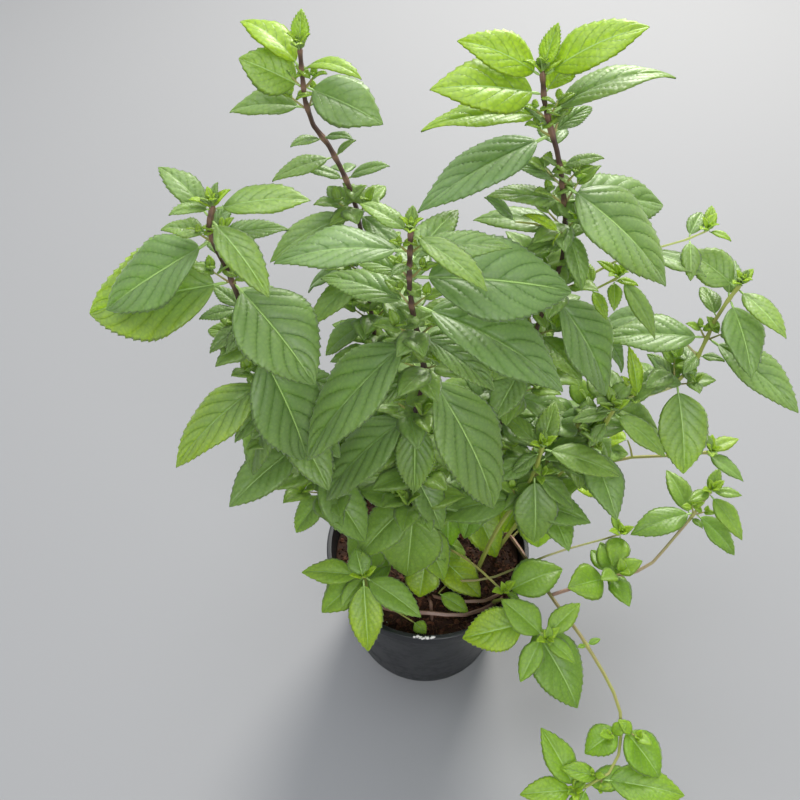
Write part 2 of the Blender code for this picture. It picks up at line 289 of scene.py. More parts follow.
SHOOTS = {
    "back_left": {
        "path": [(-18, 24, 72), (-24, 32, 180), (-32, 38, 270), (-36, 40, 322),
                 (-45, 41, 352), (-54, 41, 370), (-55, 42, 398)],
        "radius": (2.0, 1.2), "bark": (0.9, 0.8),
        "inner": (145, 240), "inner_length": 34,
        "behind": [(60, leaf(95, -25, 26)), (98, leaf(80, -35, 32)),
                   (128, leaf(110, -35, 36))],
        "pairs": [
            (9, leaf(145, 22, 31, wide=0.5, droop=55, lime_and_backlight=1),
             leaf(-30, 10, 27, wide=0.36, droop=60, lime_and_backlight=0.8)),
            (16, leaf(175, 25, 26, wide=0.75, roll=-40, lime_and_backlight=0.6),
             leaf(-20, -15, 34, wide=0.66, roll=25, lime_and_backlight=0)),
            (25, leaf(175, -5, 32, wide=0.5, roll=-10, droop=35), leaf(40, 0, 22)),
            (80, leaf(-155, -15, 44), leaf(-40, -20, 28)),
            (115, leaf(-145, -25, 35), leaf(35, -20, 38)),
        ],
        "small": [
            (1, leaf(80, 65, 14, wide=0.5, lime_and_backlight=0.8), leaf(-100, 60, 7, lime_and_backlight=1)),
            (40, leaf(-145, 10, 15), leaf(-35, 20, 16)),
            (50, leaf(-155, -5, 28), leaf(10, 40, 11)),
            (62, leaf(180, 20, 18), leaf(-5, 25, 20)),
        ],
    },
    "left": {
        "path": [(-38, -2, 72), (-58, -6, 170), (-77, -8, 267), (-86, -9, 331),
                 (-90, -10, 350), (-86, -11, 365)],
        "radius": (2.0, 1.2), "bark": (0.9, 0.8),
        "inner": (130, 220),
        "behind": [(30, leaf(100, -10, 30)), (60, leaf(85, -25, 38)), (90, leaf(105, -30, 42)),
                   (118, leaf(80, -35, 40))],
        "pairs": [
            (2, leaf(-150, 15, 16), leaf(5, 5, 36, wide=0.5)),
            (7, leaf(140, 25, 28, droop=40), leaf(-50, -20, 38, wide=0.38)),
            (18, leaf(-170, -30, 56, wide=0.55, roll=-15, droop=5), leaf(15, 0, 29)),
            (41, leaf(180, -15, 66, wide=0.6, roll=-30, age=0.6),
             leaf(-40, -35, 53, wide=0.7)),
            (78, leaf(-45, -65, 67, wide=0.56), leaf(150, -10, 28)),
            (102, leaf(-145, -25, 60, age=0.7), leaf(15, -30, 42)),
        ],
        "small": [
            (1, leaf(60, 60, 9), leaf(-120, 60, 8)),
            (15, leaf(175, 5, 19, wide=0.6), leaf(60, 20, 15)),
            (57, leaf(140, 10, 18), leaf(-165, 0, 18)),
            (66, leaf(-145, -15, 20), leaf(-120, -10, 16)),
            (115, leaf(-140, -25, 30), leaf(-135, -60, 48)),
        ],
    },
    "centre": {
        "path": [(-4, -6, 72), (-8, -8, 150), (-11, -9, 226), (-6, -10, 266),
                 (-8, -12, 288), (-13, -15, 325), (-13, -20, 361)],
        "radius": (2.3, 1.3), "bark": (1.0, 0.85),
        "inner": (150, 262),
        "behind": [(35, leaf(85, -5, 34)), (55, leaf(100, -15, 40)), (75, leaf(80, -25, 44)),
                   (105, leaf(95, -30, 48)), (135, leaf(80, -30, 46))],
        "pairs": [
            (2, leaf(150, 15, 22), leaf(-40, -10, 36, wide=0.35)),
            (12, leaf(-175, 0, 51), leaf(0, 5, 38)),
            (27, leaf(155, 0, 26), leaf(5, -10, 68, wide=0.55, roll=20)),
            (44, leaf(-15, -25, 75, wide=0.5), leaf(155, 0, 42)),
            (63, leaf(-155, -45, 81), leaf(-25, -25, 41)),
            (87, leaf(-40, -55, 84), leaf(-150, -25, 26)),
            (122, leaf(-160, -45, 70), leaf(-90, -60, 43)),
            (200, leaf(-100, -60, 50, wide=0.72, lime_and_backlight=0.2), leaf(80, -20, 38)),
        ],
        "small": [
            (1, leaf(80, 60, 9), leaf(-100, 55, 8)),
            (20, leaf(55, 10, 34), leaf(-125, 20, 12)),
            (73, leaf(10, 35, 16), leaf(-170, 30, 14)),
            (146, leaf(-50, -40, 16), leaf(90, 20, 40)),
            (170, leaf(-50, -60, 38, wide=0.5), leaf(130, -20, 36)),
        ],
    },
    "back_right": {
        "path": [(22, 18, 72), (36, 22, 170), (50, 22, 275), (55, 23, 315),
                 (48, 25, 355), (39, 28, 380), (36, 30, 395)],
        "radius": (2.2, 1.2), "bark": (1.0, 0.85),
        "inner": (135, 256),
        "behind": [(33, leaf(90, -10, 28)), (65, leaf(100, -30, 34)), (90, leaf(80, -35, 38)),
                   (120, leaf(95, -30, 36))],
        "pairs": [
            (2, leaf(170, 20, 34, wide=0.5, roll=-30, droop=35, lime_and_backlight=1),
             leaf(0, 30, 40, wide=0.5, roll=20, droop=35, lime_and_backlight=1)),
            (9, leaf(-170, 10, 44, wide=0.56, roll=-25, lime_and_backlight=0.9, age=0.4),
             leaf(45, 30, 19, wide=0.7, lime_and_backlight=1)),
            (18, leaf(-172, 0, 49, wide=0.4, lime_and_backlight=0.8),
             leaf(10, 15, 50, wide=0.42, roll=-5, droop=45)),
            (26, leaf(-160, -20, 60, droop=15), leaf(40, 10, 22)),
            (49, leaf(-30, -30, 61, wide=0.66), leaf(160, 15, 27, wide=0.35)),
            (58, leaf(20, -15, 54, wide=0.5, roll=15), leaf(-170, 15, 34)),
            (71, leaf(170, 0, 39), leaf(-65, -45, 28, wide=0.4)),
            (108, leaf(-35, -50, 61, wide=0.58), leaf(150, -20, 46)),
        ],
        "small": [
            (0, leaf(60, 60, 17, lime_and_backlight=0.9), leaf(-120, 60, 9, lime_and_backlight=1)),
            (23, leaf(170, 40, 13), leaf(30, 50, 11)),
            (41, leaf(170, 30, 8), leaf(-5, 20, 17)),
            (80, leaf(-150, 10, 22), leaf(60, 10, 26)),
        ],
    },
    "right": {
        "path": [(30, 12, 72), (62, 13, 160), (84, 12, 216), (104, 12, 227),
                 (120, 14, 232), (129, 17, 250), (133, 21, 276), (140, 25, 293)],
        "radius": (2.0, 1.3), "bark": (0.15, 0.06),
        "inner": (100, 150),
        "behind": [(20, leaf(95, 0, 22)), (50, leaf(100, -20, 28)), (75, leaf(85, -15, 30))],
        "pairs": [
            (3, leaf(140, 15, 28, wide=0.7, roll=-20), leaf(-60, -5, 32)),
            (9, leaf(-75, -30, 38, wide=0.55), leaf(80, 10, 26)),
            (32, leaf(-40, -15, 54), leaf(175, -5, 50, wide=0.5)),
            (62, leaf(-80, -45, 47, wide=0.58, age=0.4), leaf(130, 15, 20)),
        ],
        "small": [
            (1, leaf(40, 60, 8), leaf(-140, 60, 7)),
            (43, leaf(-25, 10, 12), leaf(-130, 0, 15)),
            (85, leaf(25, 20, 32), leaf(-150, 10, 24)),
        ],
    },
    "inner_right": {
        "path": [(38, 0, 72), (60, 0, 150), (84, 1, 205), (90, 2, 230)],
        "radius": (1.8, 1.2), "bark": (0.1, 0.04),
        "inner": (30, 96),
        "pairs": [(3, leaf(-35, -20, 34), leaf(-165, 0, 21))],
        "small": [
            (1, leaf(60, 50, 8), leaf(-120, 50, 8)),
            (10, leaf(60, 20, 18), leaf(-130, -20, 16)),
        ],
    },
    "middle": {
        "path": [(28, -12, 72), (38, -14, 140), (53, -8, 180), (56, -6, 210)],
        "radius": (1.8, 1.2), "bark": (0.1, 0.04),
        "inner": (45, 60),
        "pairs": [
            (3, leaf(-15, -10, 42), leaf(130, 5, 28)),
            (24, leaf(-85, -55, 40, wide=0.6), leaf(-25, -35, 31)),
        ],
        "small": [
            (1, leaf(80, 55, 9), leaf(-100, 55, 8)),
            (6, leaf(70, 30, 28), leaf(-150, -20, 18)),
            (14, leaf(20, 10, 33), leaf(-160, 0, 30)),
        ],
    },
    "low_right": {
        "path": [(34, 4, 72), (50, 10, 114), (80, 15, 142), (107, 19, 162), (133, 12, 176),
                 (153, 8, 185)],
        "radius": (1.4, 1.0), "bark": (0.35, 0.14),
        "pairs": [(3, leaf(-40, -10, 24), leaf(20, 10, 20, age=0.8))],
        "small": [(1, leaf(100, 45, 9), leaf(-80, 45, 8))],
    },
    "runner_front": {
        "path": [(47, 15, 72), (50, 9, 98), (61, -20, 108), (72, -48, 115), (83, -65, 113),
                 (100, -92, 99), (104, -108, 87), (98, -126, 76), (77, -135, 67)],
        "radius": (1.5, 1.0), "bark": (0.5, 0.02),
        "pairs": [
            (2, leaf(120, 20, 36), leaf(-175, 5, 31)),
            (17, leaf(-10, 0, 45), leaf(170, 10, 22)),
            (48, leaf(-50, -20, 32, wide=0.65), leaf(-150, -20, 24, wide=0.65)),
        ],
        "small": [
            (1, leaf(30, 50, 10), leaf(-150, 50, 9)),
            (8, leaf(15, 10, 28), leaf(-120, -10, 24)),
            (96, leaf(20, 10, 8), leaf(-160, 20, 6)),
        ],
    },
    "runner_right": {
        "path": [(69, -41, 113), (78, -38, 113), (88, -33, 110), (105, -28, 110),
                 (126, -25, 116), (140, -15, 132), (149, -8, 144), (158, 0, 160)],
        "radius": (1.4, 1.0), "bark": (0.45, 0.18),
        "pairs": [
            (3, leaf(-55, -20, 30), leaf(60, 30, 16)),
            (17, leaf(-165, -10, 38), leaf(-35, -30, 34)),
            (84, leaf(-160, 12, 26, wide=0.8, roll=-15), leaf(20, 0, 14)),
        ],
        "small": [
            (1, leaf(-15, 10, 16), leaf(-150, 10, 17)),
            (20, leaf(110, 15, 30), leaf(-70, 20, 10)),
        ],
    },
    "runner_thin": {
        "path": [(6, -21, 78), (16, -23, 95), (36, -24, 101), (59, -19, 111), (79, -14, 117),
                 (101, -10, 122), (113, -8, 126)],
        "radius": (1.1, 0.8), "bark": (0.3, 0.12),
        "pairs": [],
        "small": [(1, leaf(-110, -10, 20, wide=0.7), leaf(110, 20, 12))],
    },
    "rim_front": {
        "path": [(36, -31, 72), (41, -37, 100), (49, -48, 112), (57, -63, 119), (63, -73, 123)],
        "radius": (1.6, 1.1), "bark": (0.1, 0.04),
        "pairs": [
            (3, leaf(140, 15, 30, wide=0.6), leaf(40, 15, 27)),
            (17, leaf(-55, -30, 54, wide=0.55),
             leaf(-170, -10, 38, wide=0.6, roll=-20, age=0.7)),
        ],
        "small": [
            (0, leaf(90, 50, 9), leaf(-90, 50, 8)),
            (5, leaf(-120, -20, 27), leaf(-40, -10, 22)),
        ],
    },
    "rim_left": {
        "path": [(-36, -28, 74), (-37, -34, 120), (-37, -45, 143)],
        "radius": (1.5, 1.1), "bark": (0.1, 0.04),
        "pairs": [
            (6, leaf(-35, -5, 38), leaf(175, 0, 34)),
            (2, leaf(-85, -40, 41, age=0.75), leaf(90, 55, 14)),
        ],
        "small": [(10, leaf(-125, -10, 21), leaf(-145, -20, 30, wide=0.65))],
    },
}
print(len(SHOOTS), "shoots,", sum(len(s["pairs"]) for s in SHOOTS.values()), "large pairs")

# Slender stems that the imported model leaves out: two side twigs, a sprig and the stolons.
EXTRAS = {
    "twig_right": {
        "path": [(52, 22, 291), (62, 25, 291), (68, 25, 289), (74, 24, 291), (80, 24, 294),
                 (83, 24, 298)],
        "radius": (1.0, 0.7), "bark": (0.1, 0.0), "pairs": [],
        "small": [
            (0, leaf(-55, -30, 32, wide=0.34), leaf(150, 20, 12, lime_and_backlight=1)),
            (3, leaf(-15, 0, 11, lime_and_backlight=1), leaf(-95, -20, 15, lime_and_backlight=0.7)),
            (14, leaf(-60, -30, 16, lime_and_backlight=0.8), leaf(100, 20, 14, lime_and_backlight=0.6)),
        ],
    },
    "twig_back": {
        "path": [(55, 24, 285), (84, 37, 296), (114, 40, 306), (124, 42, 310)],
        "radius": (1.0, 0.6), "bark": (0.1, 0.0), "pairs": [],
        "small": [
            (0, leaf(75, 30, 12, lime_and_backlight=0.8), leaf(-35, 0, 11, lime_and_backlight=0.8)),
            (9, leaf(-95, -20, 21), leaf(60, 10, 18)),
            (30, leaf(-30, 0, 30), leaf(130, 0, 26)),
        ],
    },
    "sprig": {
        "path": [(4, 5, 84), (8, -1, 100), (25, -18, 110), (43, -40, 114)],
        "radius": (1.2, 0.9), "bark": (0.3, 0.1), "pairs": [],
        "small": [(0, leaf(20, 10, 36, wide=0.62, lime_and_backlight=0.2), leaf(-30, 0, 9))],
    },
    "stolon_front": {
        "path": [(-42, -30, 84), (-34, -35, 89), (-17, -40, 91), (-2, -42, 93), (21, -43, 92),
                 (38, -36, 91), (47, -26, 84)],
        "radius": (1.9, 1.6), "bark": (0.55, 0.6), "pairs": [], "small": [],
    },
    "stolon_back": {
        "path": [(1, -26, 84), (8, -31, 89), (24, -35, 93), (39, -33, 93), (47, -20, 84)],
        "radius": (1.5, 1.4), "bark": (0.5, 0.55), "pairs": [], "small": [],
    },
    "stolon_root": {
        "path": [(-1, -26, 84), (1, -33, 91), (2, -39, 91), (2, -44, 86)],
        "radius": (1.3, 1.2), "bark": (0.6, 0.6), "pairs": [], "small": [],
    },
}


def inside(azimuth, rise, length, wide=0.5, droop=20, age=0, lime_and_backlight=0):
    """A leaf inside the plant, plain green unless its row says otherwise."""
    return leaf(azimuth, rise, length, wide=wide, droop=droop, age=age, lime_and_backlight=lime_and_backlight)


# Leaves inside the plant, each at the end of a twig from the nearest stem: its place and shape.
INNER_LEAVES = [
    ((14, 37, 225), inside(-35, -33, 36)),
    ((42, 45, 200), inside(-21, -41, 31, wide=0.6)),
    ((61, 32, 190), inside(-159, -19, 21)),
    ((61, 31, 160), inside(32, 10, 28, wide=0.7, droop=15, age=0.2, lime_and_backlight=0.2)),
    ((60, 29, 160), inside(-29, 30, 16, wide=0.7, droop=10)),
    ((61, 31, 160), inside(153, 0, 16, wide=0.6, droop=15, lime_and_backlight=0.2)),
    ((90, 9, 218), inside(171, -25, 30, wide=0.4)),
    ((91, 13, 192), inside(177, -35, 17, wide=0.6, lime_and_backlight=0.2)),
    ((91, 13, 192), inside(-25, -66, 22, wide=0.6, age=0.2, lime_and_backlight=0.2)),
    ((110, 20, 180), inside(144, -41, 15, wide=0.85, droop=15, age=0.9, lime_and_backlight=1)),
    ((91, 35, 112), inside(-4, -18, 22, droop=15, age=0.9, lime_and_backlight=1)),
    ((66, 18, 145), inside(-32, -55, 37, wide=0.75, age=0.2, lime_and_backlight=0.1)),
    ((54, 15, 150), inside(-40, -35, 26, wide=0.4, droop=15)),
    ((65, 12, 135), inside(-84, -59, 35, wide=0.75, age=0.3, lime_and_backlight=0.2)),
    ((55, 11, 130), inside(-138, -57, 24, wide=0.6, droop=15, age=0.5, lime_and_backlight=0.5)),
    ((25, 17, 125), inside(-55, -41, 41, wide=0.6, droop=15, age=0.6, lime_and_backlight=0.2)),
    ((12, 17, 125), inside(-89, -53, 34, droop=15, age=0.1)),
    ((4, -5, 100), inside(-44, -10, 39, wide=0.55, droop=10, age=0.9, lime_and_backlight=0.2)),
    ((-2, -17, 108), inside(-103, -45, 22, wide=0.9, droop=25, age=0.5, lime_and_backlight=0.6)),
    ((6, -30, 94), inside(-33, -4, 21, age=0.2, lime_and_backlight=0.2)),
    ((-9, -48, 93), inside(-44, -3, 10, wide=0.8, age=0.2, lime_and_backlight=0.3)),
    ((-26, -7, 140), inside(-139, -47, 38, wide=0.8, age=0.2)),
    ((-20, -18, 112), inside(-155, -31, 27, wide=0.6)),
    ((-37, -47, 146), inside(106, 22, 16, wide=0.8, droop=15, lime_and_backlight=0.2)),
    ((-39, 37, 295), inside(167, -43, 34)),
    ((31, 17, 335), inside(176, 43, 18)),
    ((49, 10, 335), inside(158, 17, 17, wide=0.35, age=0.6, lime_and_backlight=1)),
    ((49, 10, 335), inside(162, -74, 8, droop=15, age=0.6, lime_and_backlight=1)),
    ((107, 34, 262), inside(154, -40, 31, wide=0.65, droop=50)),
    ((85, 27, 255), inside(-25, -57, 24)),
    ((104, 11, 227), inside(112, 54, 28, wide=0.3, age=0.6, lime_and_backlight=0.8)),
    ((104, 11, 227), inside(143, 42, 15, wide=0.4, age=0.6, lime_and_backlight=0.8)),
    ((121, 16, 232), inside(143, 39, 19)),
]


# %% [markdown]
# ## From points to paths
# A few points are easy to list, but a stem bends smoothly between them. A Catmull-Rom
# curve passes through every one of its points and needs no handles, so the plan stays short.

# %% Paths through the plan's points
CURVE_STEPS = 10             # points on the curve between two of the plan's points


def smooth_path(points, spacing=11.0):
    """Points that far apart, in millimetres, on a smooth curve through the given points."""
    knots = [Vector(p) for p in points]
    knots = [2 * knots[0] - knots[1]] + knots + [2 * knots[-1] - knots[-2]]
    fine = []
    for a, b, c, d in zip(knots, knots[1:], knots[2:], knots[3:]):
        for i in range(CURVE_STEPS):
            t = i / CURVE_STEPS
            fine.append(0.5 * (2 * b + (c - a) * t + (2 * a - 5 * b + 4 * c - d) * t ** 2
                               + (3 * b - a - 3 * c + d) * t ** 3))
    fine.append(knots[-2])
    length = path_length(fine)
    count = max(2, round(length / spacing))
    path, walked, wanted = [fine[0]], 0.0, length / count
    for a, b in zip(fine, fine[1:]):
        step = (b - a).length
        while walked + step >= wanted and len(path) < count:
            path.append(a.lerp(b, (wanted - walked) / step))
            wanted += length / count
        walked += step
    return path + [fine[-1]]


def path_length(path):
    return sum((b - a).length for a, b in zip(path, path[1:]))


def along(path, distance):
    """Point and direction at a distance along a path."""
    for a, b in zip(path, path[1:]):
        step = (b - a).length
        if distance <= step or b is path[-1]:
            break
        distance -= step
    return a.lerp(b, distance / step), (b - a).normalized()


# %% [markdown]
# ## One leaf
# A mint leaf is ovate, with side veins that sweep forward to small forward-pointing teeth, and
# the blade swells a little between the veins. A drawn outline with Solidify would be flat, so a
# grid is bent by sums: `along` runs from stalk to tip and `across` from edge to edge. An upper
# and a lower sheet meet at the edge, which closes the blade and keeps its margin thin. The
# stalk and midrib are a second grid, rolled into a tapering tube under the same arc.

# %% The leaf tree
BLADE_START = 0.1            # share of the leaf that is bare stalk
TIP_DROP = 0.04              # how far the tip hangs, as a share of the length
EDGE_CURL = 0.14             # how far the margin turns down, as a share of the half width
TWIST_PIVOT = 0.3            # share of the blade about which it twists
SIDE_VEINS = 6.0             # on each side of the midrib
VEIN_SWEEP = 0.38            # how far a vein runs forward before it meets the edge
VEIN_CURVE = 1.15            # above 1, veins curve forward near the edge
VEIN_STAGGER = 0.2           # the two sides' veins don't meet at the midrib
MIDRIB_END = 0.96            # share of the leaf where the midrib dies away
MIDRIB_SINK = 1.15           # how many of its radii the midrib lies below the blade
STALK_LEAST = 0.3 * MM
STALK_GAIN = 0.007           # stalk radius gained for each unit of length
STALK_TAPER = 0.75
ATTRIBUTES = ("length", "half_width", "droop", "fold", "wave", "seed", "age", "lime_and_backlight", "twist")


def arc(tree, share):
    """Slope, distance out and height of the midrib at a share of the leaf's length."""
    length, droop = named(tree, "length"), named(tree, "droop")
    slope = droop * 0.5 - droop * share
    radius = length / ((droop * 0.5).sin() * 2)
    out = radius * ((droop * 0.5).sin() - slope.sin())
    high = radius * (slope.cos() - (droop * 0.5).cos()) - length * TIP_DROP * share ** 4
    return slope, out, high


def placed(tree, slope, out, high, side, lift):
    """Turn arc coordinates into a place, with the leaf's own three directions."""
    forward, left, upward = (named(tree, name, "FLOAT_VECTOR")
                             for name in ("forward", "left", "upward"))
    base = named(tree, "base", "FLOAT_VECTOR")
    return added(base, scaled(forward, out - lift * slope.sin()), scaled(left, side),
                 scaled(upward, high + lift * slope.cos()))


def on_points(tree, points, mesh, place, material):
    """Put the mesh on every point, realize it, bend it into place and weld its seams."""
    copies = node(tree, "GeometryNodeInstanceOnPoints", Points=points, Instance=mesh)
    real = node(tree, "GeometryNodeRealizeInstances", Geometry=copies)
    bent = node(tree, "GeometryNodeSetPosition", Geometry=real, Position=place)
    welded = node(tree, "GeometryNodeMergeByDistance", Geometry=bent, Distance=0.01 * MM)
    return node(tree, "GeometryNodeSetMaterial", Geometry=welded, Material=material)


def leaf_tree():
    tree, given = new_tree("mint leaf", [
        ("Rows", "Int"), ("Columns", "Int"), ("Teeth", "Float"), ("Side Veins", "Float"),
        ("Vein Sweep", "Float"), ("Stalk Rows", "Int"), ("Stalk Sides", "Int"),
        ("Quilting", "Float"), ("Tooth Depth", "Float"), ("Thickness", "Float"),
        ("Blade", "Material"), ("Stalk", "Material")])
    grid_x, grid_y = coordinates(tree, node(tree, "GeometryNodeInputPosition"))[:2]

    sheet = node(tree, "GeometryNodeMeshGrid", Size_X=1.0, Size_Y=1.0,
                 Vertices_X=given["Rows"], Vertices_Y=given["Columns"])
    sheet = stored(tree, sheet, "along", grid_x + 0.5)
    sheet = stored(tree, sheet, "across", grid_y * 2)
    upper = stored(tree, stored(tree, sheet, "side", 1.0), "underside", 0.0, domain="FACE")
    flipped = node(tree, "GeometryNodeFlipFaces", Mesh=sheet)
    lower = stored(tree, stored(tree, flipped, "side", -1.0), "underside", 1.0, domain="FACE")
    shell = joined(tree, lower, upper)

    down, across = named(tree, "along"), named(tree, "across")
    edge = across.abs()
    half = named(tree, "half_width") * ((down ** 0.8 * math.pi).sin().max(0.0) ** 0.85)
    half = half * (1 - down ** 3 * 0.15)
    near_ends = (down * 6).min(1.0) * ((1 - down) * 7).min(1.0)
    saw = (down * given["Teeth"]).fract()
    tooth = given["Tooth Depth"] * saw ** 1.5 * near_ends
    side = across * (half + tooth * edge ** 8)
    vein = given["Side Veins"] * (down - given["Vein Sweep"] * edge ** VEIN_CURVE)
    vein = (vein + across.sign() * VEIN_STAGGER).fract()
    valley = (vein * 2 - 1).abs()
    swell = (1 - valley ** 5) - valley ** 14 * 0.6
    calm = (edge * 5).min(1.0) * (1 - edge ** 5) * near_ends
    relief = given["Quilting"] * swell * calm - given["Quilting"] * (1 - edge * 12).max(0.0)
    ripple = (down * 11 + named(tree, "seed") * 40 + across.sign()).sin()
    wave = named(tree, "wave") * half * edge ** 2 * ripple
    lift = side.abs() * named(tree, "fold") - half * edge ** 3 * EDGE_CURL + relief + wave
    skin = given["Thickness"] * (1 - edge ** 8) * (1 - (down * 2 - 1) ** 16)
    lift = lift + named(tree, "side") * skin * 0.5
    turn = named(tree, "twist") * (down - TWIST_PIVOT)
    turned_side = side * turn.cos() - lift * turn.sin()
    turned_lift = side * turn.sin() + lift * turn.cos()
    slope, out, high = arc(tree, down * (1 - BLADE_START) + BLADE_START)
    out = out + tooth * edge ** 8 * 0.8
    blades = on_points(tree, given["Geometry"], shell,
                       placed(tree, slope, out, high, turned_side, turned_lift), given["Blade"])

    tube = node(tree, "GeometryNodeMeshGrid", Size_X=1.0, Size_Y=1.0,
                Vertices_X=given["Stalk Rows"], Vertices_Y=given["Stalk Sides"])
    tube = stored(tree, tube, "down", grid_x + 0.5)
    tube = stored(tree, tube, "around", grid_y * (2 * math.pi))
    down, around = named(tree, "down"), named(tree, "around")
    share = down * MIDRIB_END
    thick = named(tree, "length") * STALK_GAIN + STALK_LEAST
    thick = thick * (1 - share * STALK_TAPER)
    thick = thick * (down * 50).min(1.0) * ((1 - down) * 12).min(1.0)
    sunk = ((share - BLADE_START * 0.6) * 12).held()
    slope, out, high = arc(tree, share)
    stalks = on_points(tree, given["Geometry"], tube,
                       placed(tree, slope, out, high, around.cos() * thick,
                              around.sin() * thick - thick * sunk * MIDRIB_SINK),
                       given["Stalk"])
    finish_tree(tree, joined(tree, stalks, blades))
    return tree


LEAF_TREE = leaf_tree()


# %% [markdown]
# ## Many leaves from one tree
# No two leaves are the same, but all follow the same rule. Each leaf is one point that carries
# its direction, length, droop, fold, wave, twist, age and lime amount as attributes, and the tree
# reads them; the lime amount is partly young growth and partly painted backlight. One seeded
# draw for each shoot gives the small differences.

# %% Where each leaf starts, and its own small differences
def leaf_frame(shape):
    """Unit vectors along a leaf, to its left and out of its upper side."""
    azimuth, rise, roll = (math.radians(shape[key]) for key in ("azimuth", "rise", "roll"))
    forward = Vector((math.cos(azimuth) * math.cos(rise), math.sin(azimuth) * math.cos(rise),
                      math.sin(rise)))
    level = Vector((-math.sin(azimuth), math.cos(azimuth), 0))
    normal = forward.cross(level)
    left = level * math.cos(roll) + normal * math.sin(roll)
    return forward, left, forward.cross(left)


# Below this height leaves are also painted a limer green that stands for light through shaded,
# backlit blades.
LOW_GROWTH = 190.0           # below this height leaves are rounder


def grown_leaf(shape, base, draw, young):
    """Everything the leaf tree wants to know about one leaf; lengths in metres."""
    forward, left, upward = leaf_frame(shape)
    length = shape["length"] * MM
    age = shape["age"] if shape["age"] is not None else draw.uniform(0.0, 0.3)
    young = shape["lime_and_backlight"] if shape["lime_and_backlight"] is not None else young
    low = max(0.0, 1 - base.z / LOW_GROWTH)
    # Painted backlight: low leaves get more of the lime green, as light through them, not as
    # youth.
    young = min(1.0, young + 0.1 * low)
    return {
        "base": base * MM, "forward": forward, "left": left, "upward": upward,
        "length": length, "half_width": shape["wide"] * length * (0.5 + 0.08 * low),
        "droop": math.radians(shape["droop"] + draw.uniform(0, 14)),
        "fold": draw.uniform(0.14, 0.3), "wave": draw.uniform(0.03, 0.09),
        "seed": draw.random(), "age": age, "lime_and_backlight": young,
        "twist": math.radians(draw.uniform(-16, 16)),
    }


# Detail of a leaf: rows to a tooth, columns to a millimetre of length, stalk rows and sides.
LARGE_LEAF = (5, 0.2, 21, 9)
SMALL_LEAF = (4, 0.16, 13, 7)
BUD_LEAF = (3, 0.12, 7, 6)

TOOTH_SPACING = 3.7          # millimetres
FEWEST_TEETH, MOST_TEETH = 5, 19
FEWEST_COLUMNS, MOST_COLUMNS = 3, 13
BLADE_THICKNESS = 0.35 * MM


def leaves_mesh(name, leaves, detail):
    """One mesh object of several leaves, made by the leaf tree from one point for each."""
    rows, columns, stalk_rows, stalk_sides = detail
    longest = max(item["length"] for item in leaves) / MM
    start = bpy.data.meshes.new(name + " points")
    start.from_pydata([item["base"] for item in leaves], [], [])
    for key in ("base", "forward", "left", "upward"):
        layer = start.attributes.new(key, "FLOAT_VECTOR", "POINT")
        layer.data.foreach_set("vector", [v for item in leaves for v in item[key]])
    for key in ATTRIBUTES:
        layer = start.attributes.new(key, "FLOAT", "POINT")
        layer.data.foreach_set("value", [float(item[key]) for item in leaves])
    teeth = round(min(max(longest / TOOTH_SPACING, FEWEST_TEETH), MOST_TEETH))
    side_columns = int(min(max(longest * columns, FEWEST_COLUMNS), MOST_COLUMNS))
    values = {
        "Rows": teeth * rows + 1, "Columns": 2 * side_columns + 1,
        "Stalk Rows": stalk_rows, "Stalk Sides": stalk_sides,
        "Teeth": float(teeth), "Side Veins": SIDE_VEINS, "Vein Sweep": VEIN_SWEEP,
        "Quilting": longest * 0.012 * MM, "Tooth Depth": (0.2 + longest * 0.011) * MM,
        "Thickness": BLADE_THICKNESS, "Blade": LEAF, "Stalk": STALK,
    }
    return grown(name, LEAF_TREE, start, values)


def spoke_towards(axis, shape):
    """Direction square to the stem in which a leaf leaves it."""
    forward = leaf_frame(shape)[0]
    return (forward - axis * forward.dot(axis)).normalized()


def stem_radius(shoot, share):
    foot, tip = shoot["radius"]
    return foot + (tip - foot) * share


# %% [markdown]
# ## Surfaces shared by several finishes
# Two effects are used more than once, so each is a shader group: `mottle`, a soft two-scale
# unevenness for colour, and `mint veins`, which draws the midrib, the sweeping side veins and
# the net between them from the same `along` and `across` values that bent the blade.

# %% Shader groups
def new_group(name, inputs, outputs):
    tree = bpy.data.node_groups.new(name, "ShaderNodeTree")
    for label, value in inputs.items():
        kind = "NodeSocketVector" if value is None else "NodeSocketFloat"
        socket = tree.interface.new_socket(label, in_out="INPUT", socket_type=kind)
        if value is not None:
            socket.default_value = value
    for label in outputs:
        tree.interface.new_socket(label, in_out="OUTPUT", socket_type="NodeSocketFloat")
    source = tree.nodes.new("NodeGroupInput")
    result = tree.nodes.new("NodeGroupOutput")
    given = {item.name: Sum(tree, item) for item in source.outputs if item.name}
    return tree, given, result


def mottle_group():
    tree, given, result = new_group("mottle", {"Place": None, "Size": 200.0}, ["Amount"])
    coarse = node(tree, "ShaderNodeTexNoise", Vector=given["Place"], Scale=given["Size"],
                  Detail=3.0)
    fine = node(tree, "ShaderNodeTexNoise", Vector=given["Place"], Scale=given["Size"] * 4.3,
                Detail=2.0)
    plug(tree, coarse * 0.65 + fine * 0.35, result.inputs["Amount"])
    return tree


